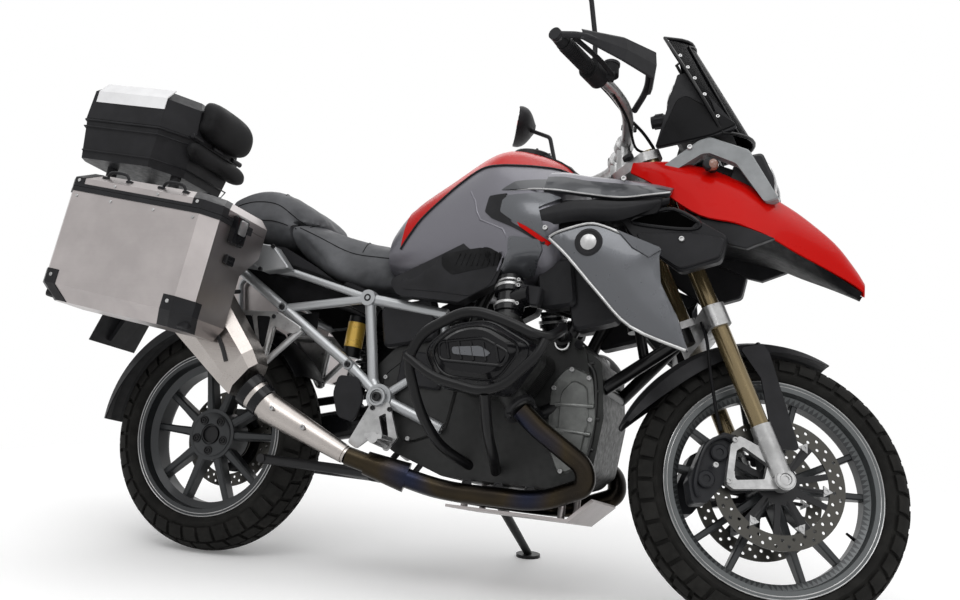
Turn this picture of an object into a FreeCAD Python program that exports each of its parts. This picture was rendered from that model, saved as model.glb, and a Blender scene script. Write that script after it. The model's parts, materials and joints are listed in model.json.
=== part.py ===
import FreeCAD, Part
import math
import os

V = FreeCAD.Vector

# Driving dimensions, in millimetres and degrees.
# The machine is drawn upright: X forward, Y left, Z up, from the centre of the rear axle.
WHEELBASE = 1507.0
HEAD_ANGLE = 64.5
TRAIL = 99.6
STEERED_LEFT = 25.6
STEER_LOCK = 40.0
LEAN = 12.7

# Wheels and tyres
REAR_RADIUS = 320.0
REAR_HALF_WIDTH = 82.0
REAR_CROWN = 85.0
REAR_SHOULDER = 68.0
REAR_FLANGE = 231.0
REAR_RIM_HALF = 58.0
FRONT_RADIUS = 328.0
FRONT_HALF_WIDTH = 56.0
FRONT_CROWN = 60.0
FRONT_SHOULDER = 46.0
FRONT_FLANGE = 256.0
FRONT_RIM_HALF = 38.0
FLANGE_HEIGHT = 15.0
RIM_WALL = 6.0
TYRE_GAP = 0.3
SPOKE_PAIRS = 5
REAR_HUB_RADIUS = 72.0
REAR_HUB_RIGHT = -38.0
REAR_HUB_LEFT = 46.0
REAR_HUB_BORE = 25.0
FRONT_HUB_RADIUS = 36.0
FRONT_HUB_HALF = 62.0
AXLE_RADIUS = 12.5
AXLE_BORE = 8.5
AXLE_HALF = 124.0
RUNNING_FIT = 0.06

# Brake discs
FRONT_DISC_RADIUS = 152.5
FRONT_DISC_OFFSET = 73.5
REAR_DISC_RADIUS = 138.0
REAR_DISC_OFFSET = 62.0
DISC_BAND = 36.0
DISC_THICKNESS = 5.0
DISC_HOLE = 4.0
DISC_HOLES = 30

# Fork and steering
FORK_HALF_SPACING = 105.0
FORK_TUBE_RADIUS = 21.0
FORK_LEG_RADIUS = 24.0
FORK_LEG_TOP = 134.0
FORK_TUBE_TOP = 868.0
CALIPER_FACE = FRONT_DISC_OFFSET + 18
BRIDGE_LOW = 382.0
BRIDGE_HIGH = 436.0
BALL_UP = 408.0
BALL_RADIUS = 22.0
BALL_HALF = 18.0
YOKE_LOW = 838.0
YOKE_HIGH = 862.0
BAR_RADIUS = 14.0
GRIP_RADIUS = 18.0

# Clearances
BODY_GAP = 0.3
LID_GAP = 1.0
SKIN_GAP = 0.4

# Luggage
CASE_WALL = 2.0
PANNIER_TILT = 8.5
PANNIER_LENGTH = 412.0
PANNIER_CHAMFER = 38.0
PANNIER_HEIGHT = 303.0
PANNIER_FLOOR_BEVEL = 38.0
PANNIER_OUTER = 500.0
PANNIER_INNER = 242.0
PANNIER_CUT_INNER = 308.0
LID_BAND = 24.0
LID_BEVEL = 40.0
LID_RISE = 24.0
TOP_CASE_TILT = 7.0
TOP_CASE_WALL = 3.0
TOP_CASE_HALF_WIDTH = 200.0

SMALL_TURN = 0.01
TURN = 360.0


def corner(before, point, after, bend):
    """Tangent arc at a point of a route: its first, middle and last points."""
    back = before - point
    ahead = after - point
    half_turn = (math.pi - back.getAngle(ahead)) / 2
    if half_turn < SMALL_TURN:
        return None
    reach = 0.45 * min(back.Length, ahead.Length)
    if bend:
        reach = min(reach, bend * math.tan(half_turn))
    radius = reach / math.tan(half_turn)
    back.normalize()
    ahead.normalize()
    inward = (back + ahead).normalize()
    middle = point + inward * (radius / math.cos(half_turn) - radius)
    return point + back * reach, middle, point + ahead * reach


def route(points, bend=None):
    """Open wire of straight runs joined by tangent arcs."""
    edges = []
    start = points[0]
    for before, point, after in zip(points, points[1:], points[2:]):
        arc = corner(before, point, after, bend)
        if arc:
            edges.append(Part.LineSegment(start, arc[0]).toShape())
            edges.append(Part.Arc(*arc).toShape())
            start = arc[2]
    edges.append(Part.LineSegment(start, points[-1]).toShape())
    return Part.Wire(edges)


def loop(points, bend=0.0):
    """Closed wire through points, its corners rounded to a bend radius."""
    if not bend:
        return Part.makePolygon(points + points[:1])
    edges = []
    arcs = [corner(points[i - 1], p, points[(i + 1) % len(points)], bend) for i, p in enumerate(points)]
    arcs = [arc for arc in arcs if arc]
    for arc, following in zip(arcs, arcs[1:] + arcs[:1]):
        edges.append(Part.Arc(*arc).toShape())
        if (following[0] - arc[2]).Length > SMALL_TURN:
            edges.append(Part.LineSegment(arc[2], following[0]).toShape())
    return Part.Wire(edges)


def pipe(points, radius, bend=None):
    """Round bar along a route."""
    ring = Part.Wire(Part.makeCircle(radius, points[0], points[1] - points[0]))
    return route(points, bend).makePipeShell([ring], True, False)


def rod(start, end, radius, end_radius=None):
    """Cylinder or cone between two points."""
    axis = end - start
    if end_radius is None or end_radius == radius:
        return Part.makeCylinder(radius, axis.Length, start, axis)
    return Part.makeCone(radius, end_radius, axis.Length, start, axis)


def sleeve(start, end, radius, bore):
    """Hollow cylinder between two points."""
    return rod(start, end, radius).cut(rod(start, end, bore))


def slab(points, low, high, bend=0.0):
    """Plate whose outline is given as (x, z) pairs, between two values of y."""
    wire = loop([V(x, low, z) for x, z in points], bend)
    return Part.Face(wire).extrude(V(0, high - low, 0))


def skin(rings, ruled=False):
    """Solid through closed rings of points, one after the other."""
    return Part.makeLoft([Part.makePolygon(ring + ring[:1]) for ring in rings], True, ruled)


def smooth_skin(rings):
    """Solid through closed rings of points, round in section and along its length."""
    wires = []
    for ring in rings:
        curve = Part.BSplineCurve()
        curve.interpolate(Points=ring, PeriodicFlag=True)
        wires.append(Part.Wire(curve.toShape()))
    return Part.makeLoft(wires, True, False)


def block(low, high):
    """Plain box between two corners."""
    size = high - low
    return Part.makeBox(size.x, size.y, size.z, low)


def mirrored(shape):
    return shape.mirror(V(0, 0, 0), V(0, 1, 0))


def pair(shape):
    return [shape, mirrored(shape)]


def joined(shapes):
    """One solid from pieces that overlap."""
    result = shapes[0].fuse(shapes[1:])
    return result.removeSplitter()


def softened(shape, radius, picks):
    """The shape with the edges that picks chooses rounded, where its wall allows."""
    edges = [edge for edge in shape.Edges if picks(edge)]
    return shape.makeFillet(radius, edges) if edges else shape


def turned(shape, centre, axis, angle):
    copy = shape.copy()
    copy.rotate(centre, axis, angle)
    return copy


# Steering geometry
REAR_AXLE = V(0, 0, 0)
FRONT_AXLE = V(WHEELBASE, 0, FRONT_RADIUS - REAR_RADIUS)
RAKE = math.radians(HEAD_ANGLE)
STEER_UP = V(-math.cos(RAKE), 0, math.sin(RAKE))
STEER_FORWARD = V(math.sin(RAKE), 0, math.cos(RAKE))
AXLE_OFFSET = FRONT_RADIUS * math.cos(RAKE) - TRAIL * math.sin(RAKE)
STEER_ORIGIN = FRONT_AXLE - STEER_FORWARD * AXLE_OFFSET
ACROSS = V(0, 1, 0)


def steer_point(ahead, left, up):
    """Point beside the steering axis: ahead of it, to the left of it, and up along it."""
    return STEER_ORIGIN + STEER_FORWARD * ahead + ACROSS * left + STEER_UP * up


def fork_point(side, up):
    return steer_point(AXLE_OFFSET, side * FORK_HALF_SPACING, up)


def ground_plane():
    """Upward normal of the floor, and the height of the rear axle above it, as the machine parks."""
    lean = math.radians(LEAN)
    front_axis = FreeCAD.Rotation(STEER_UP, STEERED_LEFT).multVec(ACROSS)
    front_centre = FreeCAD.Rotation(STEER_UP, STEERED_LEFT).multVec(FRONT_AXLE - STEER_ORIGIN) + STEER_ORIGIN
    pitch = 0.0
    for _ in range(20):
        up = V(pitch, -math.sin(lean) * math.cos(pitch), math.cos(lean) * math.cos(pitch))
        rear = (REAR_RADIUS - REAR_CROWN) * math.sqrt(1 - up.dot(ACROSS) ** 2) + REAR_CROWN
        front = (FRONT_RADIUS - FRONT_CROWN) * math.sqrt(1 - up.dot(front_axis) ** 2) + FRONT_CROWN
        flat = front_centre - V(front_centre.x, 0, 0)
        pitch = (front - rear - up.dot(flat)) / front_centre.x
    return up, rear


FLOOR_UP, REAR_HEIGHT = ground_plane()


def floor_height(x, y):
    """Height of the floor at a place beside the upright machine."""
    return (-REAR_HEIGHT - FLOOR_UP.x * x - FLOOR_UP.y * y) / FLOOR_UP.z


# Wheels
def tyre(centre, radius, half_width, crown, shoulder, flange, rim_half):
    """Tyre as one closed ring, out to the tips of its blocks."""
    seat = flange - FLANGE_HEIGHT
    shoulder_radius = radius - crown + math.sqrt(crown ** 2 - shoulder ** 2)
    widest = (seat + shoulder_radius) / 2
    place = lambda y, r: centre + V(0, y, r)
    sides = rim_half - TYRE_GAP
    edges = [
        Part.LineSegment(place(-sides, seat + TYRE_GAP), place(sides, seat + TYRE_GAP)),
        Part.LineSegment(place(sides, seat + TYRE_GAP), place(sides, flange + TYRE_GAP)),
        Part.Arc(place(sides, flange + TYRE_GAP), place(half_width, widest + 10), place(shoulder, shoulder_radius)),
        Part.Arc(place(shoulder, shoulder_radius), place(0, radius), place(-shoulder, shoulder_radius)),
        Part.Arc(place(-shoulder, shoulder_radius), place(-half_width, widest + 10), place(-sides, flange + TYRE_GAP)),
        Part.LineSegment(place(-sides, flange + TYRE_GAP), place(-sides, seat + TYRE_GAP)),
    ]
    profile = Part.Face(Part.Wire([edge.toShape() for edge in edges]))
    return profile.revolve(centre, ACROSS, TURN)


def rim(centre, flange, rim_half, well_depth):
    """Rim with flanges, bead seats and a drop centre."""
    seat = flange - FLANGE_HEIGHT
    well = seat - well_depth
    half = [
        (rim_half + RIM_WALL, flange), (rim_half, flange), (rim_half, seat), (rim_half * 0.5, seat - 2),
        (rim_half * 0.36, well), (0, well),
    ]
    under = [
        (0, well - RIM_WALL), (rim_half * 0.42, well - RIM_WALL), (rim_half * 0.6, seat - RIM_WALL - 3),
        (rim_half + RIM_WALL, seat - RIM_WALL),
    ]
    right = half + under
    left = [(-y, r) for y, r in right if y > 0]
    ring = half[:-1] + [(-y, r) for y, r in reversed(half[:-1])]
    ring += [(-y, r) for y, r in reversed(under[1:])] + under[1:]
    profile = Part.Face(Part.makePolygon([centre + V(0, y, r) for y, r in ring + ring[:1]]))
    return profile.revolve(centre, ACROSS, TURN)


def spoke(centre, inner, outer, lean_angle, hub_band, rim_band, widths):
    """One spoke from the hub to the rim, as a tapered bar."""
    def section(radius, band, width):
        middle = centre + V(width * 0, 0, radius)
        half = width / 2
        cut = half * 0.4
        ring = [
            V(-half, band[0] + cut, 0), V(-half + cut, band[0], 0), V(half - cut, band[0], 0),
            V(half, band[0] + cut, 0), V(half, band[1] - cut, 0), V(half - cut, band[1], 0),
            V(-half + cut, band[1], 0), V(-half, band[1] - cut, 0),
        ]
        return [middle + point for point in ring]
    middle_band = tuple((a + b) / 2 for a, b in zip(hub_band, rim_band))
    rings = [
        section(inner, hub_band, widths[0]),
        section((inner + outer) / 2, middle_band, (widths[0] + widths[1]) / 2 - 2),
        section(outer, rim_band, widths[1]),
    ]
    return turned(skin(rings, True), centre, ACROSS, lean_angle)


def spokes(centre, inner, outer, hub_band, rim_band, widths, spread):
    shapes = []
    for index in range(SPOKE_PAIRS):
        for side in (-1, 1):
            angle = TURN / SPOKE_PAIRS * index + side * spread
            shapes.append(spoke(centre, inner, outer, angle, hub_band, rim_band, widths))
    return shapes


def rear_wheel():
    well_depth = 22.0
    well = REAR_FLANGE - FLANGE_HEIGHT - well_depth
    spoke_inner = REAR_HUB_RADIUS - 14
    hub = rod(V(0, REAR_HUB_RIGHT, 0), V(0, REAR_HUB_LEFT, 0), REAR_HUB_RADIUS)
    stub = rod(V(0, REAR_HUB_LEFT - 1, 0), V(0, FINAL_DRIVE_RIGHT + FINAL_DRIVE_SEAT, 0), STUB_RADIUS)
    shapes = [rim(REAR_AXLE, REAR_FLANGE, REAR_RIM_HALF, well_depth), hub, stub]
    shapes += spokes(REAR_AXLE, spoke_inner, well - 3, (-36.0, 10.0), (-22.0, 16.0), (27.0, 20.0), 15.0)
    wheel = joined(shapes)
    wheel = wheel.cut(rod(V(0, REAR_HUB_RIGHT - 1, 0), V(0, FINAL_DRIVE_LEFT, 0), REAR_HUB_BORE))
    recesses = []
    for index in range(5):
        angle = TURN / 5 * (index + 0.5)
        spot = turned(rod(V(0, REAR_HUB_RIGHT - 1, 49), V(0, REAR_HUB_RIGHT + 14, 49), 12.0), REAR_AXLE, ACROSS, angle)
        head = turned(rod(V(0, REAR_HUB_RIGHT + 2, 49), V(0, REAR_HUB_RIGHT + 15, 49), 8.5), REAR_AXLE, ACROSS, angle)
        recesses.append(spot.cut(head))
    return wheel.cut(recesses)


def front_wheel():
    well_depth = 18.0
    well = FRONT_FLANGE - FLANGE_HEIGHT - well_depth
    across = V(0, FRONT_HUB_HALF, 0)
    hub = rod(FRONT_AXLE - across, FRONT_AXLE + across, FRONT_HUB_RADIUS)
    shapes = [rim(FRONT_AXLE, FRONT_FLANGE, FRONT_RIM_HALF, well_depth), hub]
    shapes += spokes(FRONT_AXLE, FRONT_HUB_RADIUS - 8, well - 3, (-30.0, 30.0), (-14.0, 14.0), (22.0, 15.0), 13.0)
    for side in (-1, 1):
        face = V(0, side * FRONT_HUB_HALF, 0)
        step = V(0, side * (FRONT_DISC_OFFSET - FRONT_HUB_HALF - DISC_THICKNESS / 2 - BODY_GAP), 0)
        shapes.append(rod(FRONT_AXLE + face * 0.9, FRONT_AXLE + face + step, 30.0))
    wheel = joined(shapes)
    reach = V(0, AXLE_HALF, 0)
    return wheel.cut(rod(FRONT_AXLE - reach, FRONT_AXLE + reach, AXLE_RADIUS + RUNNING_FIT))


def disc(centre, radius, offset, carrier_radius, bore, arms):
    """Drilled brake disc and its carrier."""
    half = DISC_THICKNESS / 2
    low = centre + V(0, offset - half, 0)
    high = centre + V(0, offset + half, 0)
    ring = sleeve(low, high, radius, radius - DISC_BAND)
    holes = []
    for row, share in enumerate((0.3, 0.7)):
        for index in range(DISC_HOLES):
            angle = TURN / DISC_HOLES * (index + row / 2)
            spot = V(0, 0, radius - DISC_BAND * share)
            hole = rod(low + spot - V(0, 1, 0), high + spot + V(0, 1, 0), DISC_HOLE)
            holes.append(turned(hole, centre, ACROSS, angle))
    ring = ring.cut(holes)
    carrier = sleeve(low, high, carrier_radius, bore)
    bars = []
    for index in range(arms):
        bar = block(low + V(-7, 0, carrier_radius - 6), high + V(7, 0, radius - DISC_BAND + 5))
        bars.append(turned(bar, centre, ACROSS, TURN / arms * index))
    return joined([ring, carrier] + bars)


def front_discs():
    shape = disc(FRONT_AXLE, FRONT_DISC_RADIUS, FRONT_DISC_OFFSET, 48.0, AXLE_RADIUS + 6, 10)
    return pair(shape)


def rear_disc():
    return disc(REAR_AXLE, REAR_DISC_RADIUS, REAR_DISC_OFFSET, REAR_HUB_RADIUS - 4, STUB_RADIUS + BODY_GAP, 5)


# Final drive on the left end of the rear axle
FINAL_DRIVE_RIGHT = 92.0
FINAL_DRIVE_LEFT = 182.0
FINAL_DRIVE_SEAT = 40.0
STUB_RADIUS = 40.0
SWINGARM_PIVOT = V(560, 0, 128)


def swingarm():
    """Single arm on the left with the shaft inside it, and the final drive at its end."""
    drive = rod(V(0, FINAL_DRIVE_RIGHT + 8, 0), V(0, FINAL_DRIVE_LEFT - 14, 0), 92.0)
    nose = rod(V(0, FINAL_DRIVE_RIGHT, 0), V(0, FINAL_DRIVE_RIGHT + 10, 0), 70.0)
    cover = rod(V(0, FINAL_DRIVE_LEFT - 15, 0), V(0, FINAL_DRIVE_LEFT, 0), 80.0, 58.0)
    tail = V(70, 138, 20)
    front = V(SWINGARM_PIVOT.x - 44, 128, SWINGARM_PIVOT.z - 8)
    arm = rod(tail, front, 40.0, 44.0)
    yoke = rod(front - V(6, 6, 0), V(front.x + 10, -60, front.z), 34.0)
    link = rod(V(-10, 140, 84), V(440, 124, 176), 12.0)
    body = joined([drive, nose, cover, arm, yoke])
    socket = rod(V(0, FINAL_DRIVE_RIGHT - 1, 0), V(0, FINAL_DRIVE_RIGHT + FINAL_DRIVE_SEAT + 4, 0), STUB_RADIUS + BODY_GAP)
    bore = rod(V(0, FINAL_DRIVE_RIGHT, 0), V(0, FINAL_DRIVE_LEFT + 1, 0), REAR_HUB_BORE)
    return joined([body, link]).cut([socket, bore])


def rear_caliper():
    """Rear brake caliper, carried by the final drive."""
    body = slab([(60, 100), (100, 60), (136, 84), (84, 136)], REAR_DISC_OFFSET - 22, REAR_DISC_OFFSET + 30, 12)
    bracket = slab([(40, 60), (60, 40), (104, 84), (84, 104)], REAR_DISC_OFFSET + 26, FINAL_DRIVE_RIGHT + 8)
    disc_room = rod(V(0, REAR_DISC_OFFSET - 8, 0), V(0, REAR_DISC_OFFSET + 8, 0), REAR_DISC_RADIUS + 6)
    return joined([body, bracket]).cut(disc_room)


# Engine
CRANK_HEIGHT = 225.0
CYLINDER_X = 870.0
CASE_HALF = 128.0
HEAD_FACE = 292.0
COVER_FACE = 372.0
CASE_OUTLINE = [(1070, 318), (1112, 150), (1100, -22), (1020, -52), (745, -50), (600, 0), (520, 70), (505, 190),
                (575, 265), (720, 320)]
FRONT_COVER = [(1060, 300), (1118, 262), (1134, 130), (1118, 0), (1060, -40)]
COVER_OUTLINE = [(726, 232), (800, 300), (900, 318), (1012, 262), (1016, 232), (958, 140), (776, 148)]


def crankcase():
    case = slab(CASE_OUTLINE, -CASE_HALF, CASE_HALF, 40)
    front = slab(FRONT_COVER, -CASE_HALF + 8, CASE_HALF - 8, 30)
    starter = rod(V(640, -70, 300), V(800, -70, 318), 34.0)
    return joined([case, front, starter])


def toward(points, share):
    """Points drawn in towards their own middle."""
    middle = [sum(values) / len(points) for values in zip(*points)]
    return [tuple(m + (p - m) * share for p, m in zip(point, middle)) for point in points]


def cylinder():
    """Right barrel and head, with cooling ribs round the barrel."""
    barrel = slab(toward(COVER_OUTLINE, 0.8), -HEAD_FACE + 60, -CASE_HALF, 20)
    head = slab(toward(COVER_OUTLINE, 0.96), -HEAD_FACE, -HEAD_FACE + 70, 20)
    ribs = []
    for index in range(5):
        low = -CASE_HALF - 26 - index * 18
        ribs.append(slab(toward(COVER_OUTLINE, 0.9), low, low + 7, 20))
    port = rod(V(905, -232, 300), V(902, -215, 330), 40.0)
    exit_port = rod(V(930, -252, 170), V(968, -252, 118), 32.0)
    return joined([barrel, head, port, exit_port] + ribs)


def valve_cover():
    """Right rocker cover: a sloping dome with a raised rib."""
    def ring(share, y, rise=0.0):
        return [V(x, y, z + rise) for x, z in toward(COVER_OUTLINE, share)]
    base = skin([ring(1.0, -HEAD_FACE), ring(0.98, -HEAD_FACE - 28), ring(0.62, -COVER_FACE)], True)
    rib = slab([(800, 244), (960, 228), (950, 196), (800, 206)], -COVER_FACE - 12, -COVER_FACE + 20, 8)
    return joined([base, rib])


def throttle_body():
    low = V(901, -214, 332)
    high = V(887, -184, 445)
    along = (high - low)
    body = rod(low, high, 31.0)
    collar = rod(low + along * 0.18, low + along * 0.34, 36.0)
    clamp = rod(low + along * 0.62, low + along * 0.74, 37.0)
    motor = rod(low + along * 0.5, low + along * 0.5 + V(62, -22, 10), 25.0)
    injector = rod(low + along * 0.2, low + along * 0.2 + V(48, -16, 34), 12.0)
    return joined([body, collar, clamp, motor, injector])


PIPE_RADIUS = 24.0


def exhaust_pipes():
    right = [V(969, -252, 117), V(1010, -238, 80), V(1112, -172, 6), V(1118, -160, -40), V(1010, -152, -86),
             V(770, -150, -86), V(640, -165, -60), V(512, -200, -28)]
    left = [V(969, 252, 117), V(1010, 238, 80), V(1112, 172, 6), V(1118, 160, -40), V(1010, 140, -86),
            V(820, 80, -86), V(700, -60, -80), V(640, -140, -62)]
    collector = rod(V(660, -150, -64), V(560, -186, -40), 38.0, 30.0)
    return joined([pipe(right, PIPE_RADIUS), pipe(left, PIPE_RADIUS), collector])


CAN_FRONT = V(232, -238, 118)
CAN_REAR = V(2, -238, 362)


def silencer():
    """Flattened can that grows towards its rear end, with a polished cover over its inlet pipe."""
    inlet = rod(V(511, -200, -28), V(300, -220, 60), 21.0, 30.0)
    cover = rod(V(505, -201, -25), V(275, -220, 74), 24.0, 40.0)
    neck = rod(V(300, -220, 60), V(226, -234, 112), 34.0, 46.0)

    def section(x, y, low, high, half):
        """Six-sided section in a plane that stands across the can."""
        base, tip = V(x[0], y, low), V(x[1], y, high)
        up = tip - base
        ring = []
        for share, side in ((0.0, 0.55), (0.25, 1.0), (0.8, 1.0), (1.0, 0.6)):
            ring.append(base + up * share + V(0, side * half, 0))
        for share, side in ((1.0, 0.6), (0.8, 1.0), (0.25, 1.0), (0.0, 0.55)):
            ring.append(base + up * share - V(0, side * half, 0))
        return ring
    can = skin([
        section((180, 254), -240, 94, 180, 44), section((150, 236), -240, 118, 216, 55),
        section((-20, 40), -240, 252, 458, 58), section((-36, 16), -240, 264, 486, 50),
    ], True)
    outlet = rod(V(-2, -240, 372), V(-34, -240, 388), 30.0)
    bore = rod(V(-5, -240, 372), V(-60, -240, 400), 24.0)
    return joined([inlet, cover, neck, can, outlet]).cut(bore)


# Frame
TUBE = 14.0
FRAME_TUBE = 17.0
RACK_RADIUS = 8.0
RACK_STANDOFF = 16.0
CARRIER_DROP = 55.0
CARRIER_THICK = 8.0
SUBFRAME_Y = 148.0
HEAD_LOW = 640.0
HEAD_TOP = 795.0


def frame_run(side):
    """Route of the frame's upper tube, from the steering head to the crankcase."""
    return [V(1090, side * 30, 668), V(1010, side * 95, 600), V(800, side * 112, 440), V(770, side * 104, 310)]


def main_frame():
    """Black front frame round the engine, with the steering head at its top."""
    head = rod(steer_point(0, 0, HEAD_LOW), steer_point(0, 0, HEAD_TOP), 34.0)
    shapes = [head]
    for side in (-1, 1):
        shapes.append(pipe(frame_run(side), FRAME_TUBE))
        shapes.append(pipe([V(1150, side * 26, 600), V(1120, side * 80, 500), V(1040, side * 108, 350),
                            V(1020, side * 112, 300)], 17.0))
        shapes.append(rod(V(1062, side * 100, 398), V(826, side * 117, 460), 12.0))
        shapes.append(rod(V(1020, side * 90, 314), V(1020, side * 150, 314), 21.0))
    shapes.append(rod(V(800, -120, 440), V(800, 120, 440), 14.0))
    shapes.append(rod(V(1062, -100, 398), V(1062, 100, 398), 14.0))
    return joined(shapes)


def rear_subframe():
    """Silver tubes under the seat, down to the footrest hubs."""
    shapes = []
    for side in (-1, 1):
        y = side * SUBFRAME_Y
        ring = V(492, y, 388)
        hub = V(563, side * 155, 129)
        shapes += [
            rod(ring - V(0, 17, 0), ring + V(0, 17, 0), 21.0),
            rod(ring, V(712, side * 140, 357), TUBE),
            rod(V(704, side * 140, 358), V(704, side * 112, 290), TUBE - 2),
            rod(ring, V(532, y, 173), TUBE),
            rod(V(532, y, 173), hub, TUBE),
            rod(hub, V(733, side * 140, 66), TUBE),
            rod(hub, V(640, side * 140, 190), 11.0),
            rod(hub, V(461, y, 208), TUBE),
            rod(V(461, y, 208), V(51, y, 475), TUBE),
            rod(V(242, y, 351), ring, 12.0),
            rod(V(51, y, 475), V(-60, side * 146, 522), TUBE),
            rod(V(51, y, 475), V(258, y, 450), 10.0),
            rod(V(258, y, 450), ring, 10.0),
            rod(hub - V(0, 16, 0), hub + V(0, 16, 0), 34.0),
        ]
    for x, z, reach in ((242, 351, 148), (492, 388, 148), (-60, 522, 146)):
        shapes.append(rod(V(x, -reach, z), V(x, reach, z), 11.0))
    return joined(shapes)


def footrests():
    """Right and left rider footrest plates with pegs, and the pillion brackets behind them."""
    plate = slab([(596, 118), (630, 30), (600, -12), (575, 40), (520, -6), (494, 8), (545, 112)], -172, -164, 8)
    slot = slab([(590, 90), (606, 30), (594, 20), (572, 80)], -180, -150, 3)
    peg = rod(V(600, -165, 14), V(600, -252, 20), 14.0)
    tread = slab([(576, 18), (624, 18), (624, 30), (576, 30)], -252, -184, 4)
    bracket = joined([plate.cut(slot), peg, tread])
    rear = joined([
        rod(V(102, -168, 322), V(229, -168, 322), 9.0), rod(V(102, -168, 322), V(211, -172, 190), 9.0),
        rod(V(229, -168, 322), V(211, -172, 190), 9.0), rod(V(211, -172, 190), V(311, -166, 292), 9.0),
    ])
    pieces = pair(bracket) + pair(rear)
    return pieces


def rear_shock():
    """Gas strut with its coil spring and side reservoir."""
    low, high = V(392, 60, 118), V(432, 40, 410)
    along = high - low
    body = rod(low, high, 14.0)
    seat = rod(low + along * 0.2, low + along * 0.24, 33.0)
    cap = rod(low + along * 0.8, low + along * 0.9, 33.0)
    eye = rod(low - V(0, 16, 0), low + V(0, 16, 0), 20.0)
    top_eye = rod(high - V(0, 16, 0), high + V(0, 16, 0), 18.0)
    tank = rod(V(420, -70, 240), V(428, -70, 352), 24.0)
    link = rod(V(426, -60, 330), V(428, 20, 345), 9.0)
    spring = Part.makeHelix(21.0, along.Length * 0.54, 26.0)
    wire = Part.Wire(Part.makeCircle(5.0, V(26, 0, 0), V(0, 1, 0)))
    coil = Part.Wire(spring.Edges).makePipeShell([wire], True, True)
    coil.Placement = FreeCAD.Placement(low + along * 0.245, FreeCAD.Rotation(V(0, 0, 1), along))
    return [joined([body, seat, cap, eye, top_eye, tank, link]), coil]


def front_suspension():
    """Wishbone from the crankcase to the fork bridge, and its strut."""
    ball = steer_point(0, 0, BALL_UP)
    arms = [rod(V(968, side * 128, 118), V(1120, side * 92, 200), 18.0) for side in (-1, 1)]
    arms += [rod(V(1120, side * 92, 200), ball, 16.0) for side in (-1, 1)]
    arms.append(rod(V(1120, -92, 200), V(1120, 92, 200), 14.0))
    arms.append(rod(ball - STEER_UP * 20, ball + STEER_UP * BALL_HALF, BALL_RADIUS))
    arms += [rod(V(968, side * 120, 118), V(968, side * 150, 118), 24.0) for side in (-1, 1)]
    wishbone = joined(arms)
    low, high = V(1196, 0, 282), V(1112, 0, 612)
    strut = joined([rod(low, high, 13.0), rod(low.add((high - low) * 0.25), low.add((high - low) * 0.85), 30.0)])
    return [wishbone, strut.cut(wishbone)]


# Tank, seats and covers
TANK_SECTIONS = [
    (520, [(0, 470), (70, 470), (118, 490), (120, 545), (80, 590), (0, 598)]),
    (610, [(0, 450), (90, 450), (150, 480), (160, 560), (110, 672), (0, 700)]),
    (711, [(0, 440), (95, 440), (165, 480), (188, 590), (140, 720), (0, 776)]),
    (800, [(0, 440), (95, 440), (180, 480), (214, 610), (165, 750), (0, 829)]),
    (900, [(0, 440), (95, 440), (200, 470), (240, 600), (176, 732), (0, 812)]),
    (965, [(0, 445), (95, 445), (195, 474), (244, 590), (178, 706), (0, 782)]),
    (1006, [(0, 480), (60, 480), (170, 500), (226, 586), (150, 680), (0, 730)]),
]


def symmetric_ring(x, half):
    """Closed ring in a plane across the machine from its left half, listed upward."""
    left = [V(x, y, z) for y, z in half]
    right = [V(x, -y, z) for y, z in reversed(half) if y > 0]
    return left + right


def grown(sections, amount):
    """Sections drawn larger all round by an amount, to make room for their solid in a neighbour."""
    larger = []
    for x, half in sections:
        middle = sum(z for _, z in half) / len(half)
        larger.append((x, [(y + amount if y else 0, z + math.copysign(amount, z - middle)) for y, z in half]))
    first, last = larger[0], larger[-1]
    return [(first[0] - amount, first[1])] + larger[1:-1] + [(last[0] + amount, last[1])]


def body_of(sections):
    return smooth_skin([symmetric_ring(x, half) for x, half in sections])


def room_for(sections):
    return body_of(grown(sections, SKIN_GAP))


def fuel_tank():
    rooms = [pipe(frame_run(side), FRAME_TUBE + BODY_GAP) for side in (-1, 1)]
    return body_of(TANK_SECTIONS).cut(rooms)


SIDE_PANEL = [(560, 430), (640, 470), (800, 555), (880, 520), (850, 430), (760, 380), (590, 392)]


def side_panels():
    """Dark panels below the tank."""
    return pair(slab(SIDE_PANEL, -196, -150, 16).cut(room_for(TANK_SECTIONS)))


WING_SECTIONS = [
    (985, [(232, 556), (248, 590), (236, 622), (214, 664), (196, 704), (140, 734), (130, 700), (150, 640), (160, 560)]),
    (1060, [(236, 582), (252, 606), (234, 640), (222, 654), (208, 692), (162, 716), (154, 690), (160, 640), (170, 582)]),
    (1149, [(234, 584), (248, 610), (230, 636), (222, 645), (206, 684), (164, 706), (156, 686), (164, 640), (170, 584)]),
    (1222, [(214, 618), (226, 630), (220, 642), (216, 654), (198, 678), (156, 698), (148, 684), (160, 650), (170, 618)]),
    (1262, [(196, 640), (202, 646), (202, 654), (200, 664), (188, 674), (150, 690), (140, 684), (160, 664), (170, 640)]),
]
SHROUD = [(1000, 530), (1093, 575), (1180, 566), (1262, 520), (1345, 272), (1215, 322), (1100, 440)]
DUCT = [(1140, 610), (1236, 628), (1400, 560), (1390, 500), (1300, 470), (1180, 560)]
DUCT_MOUTH = [(1186, 590), (1228, 606), (1272, 606), (1322, 584), (1300, 572), (1230, 578)]
DUCT_DEPTH = 24.0


def radiator_shrouds():
    """Silver side wings, each one plate that leans in towards its front and top."""
    def wing(points, rear_y, front_y, thickness):
        rings = []
        for drop in (0, thickness):
            ring = []
            for x, z in points:
                share = (x - points[0][0]) / (SHROUD[4][0] - SHROUD[0][0])
                ring.append(V(x, -(rear_y + (front_y - rear_y) * share - drop), z))
            rings.append(ring)
        return skin(rings, True)
    return pair(wing(SHROUD, 268.0, 232.0, 16.0))


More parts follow.
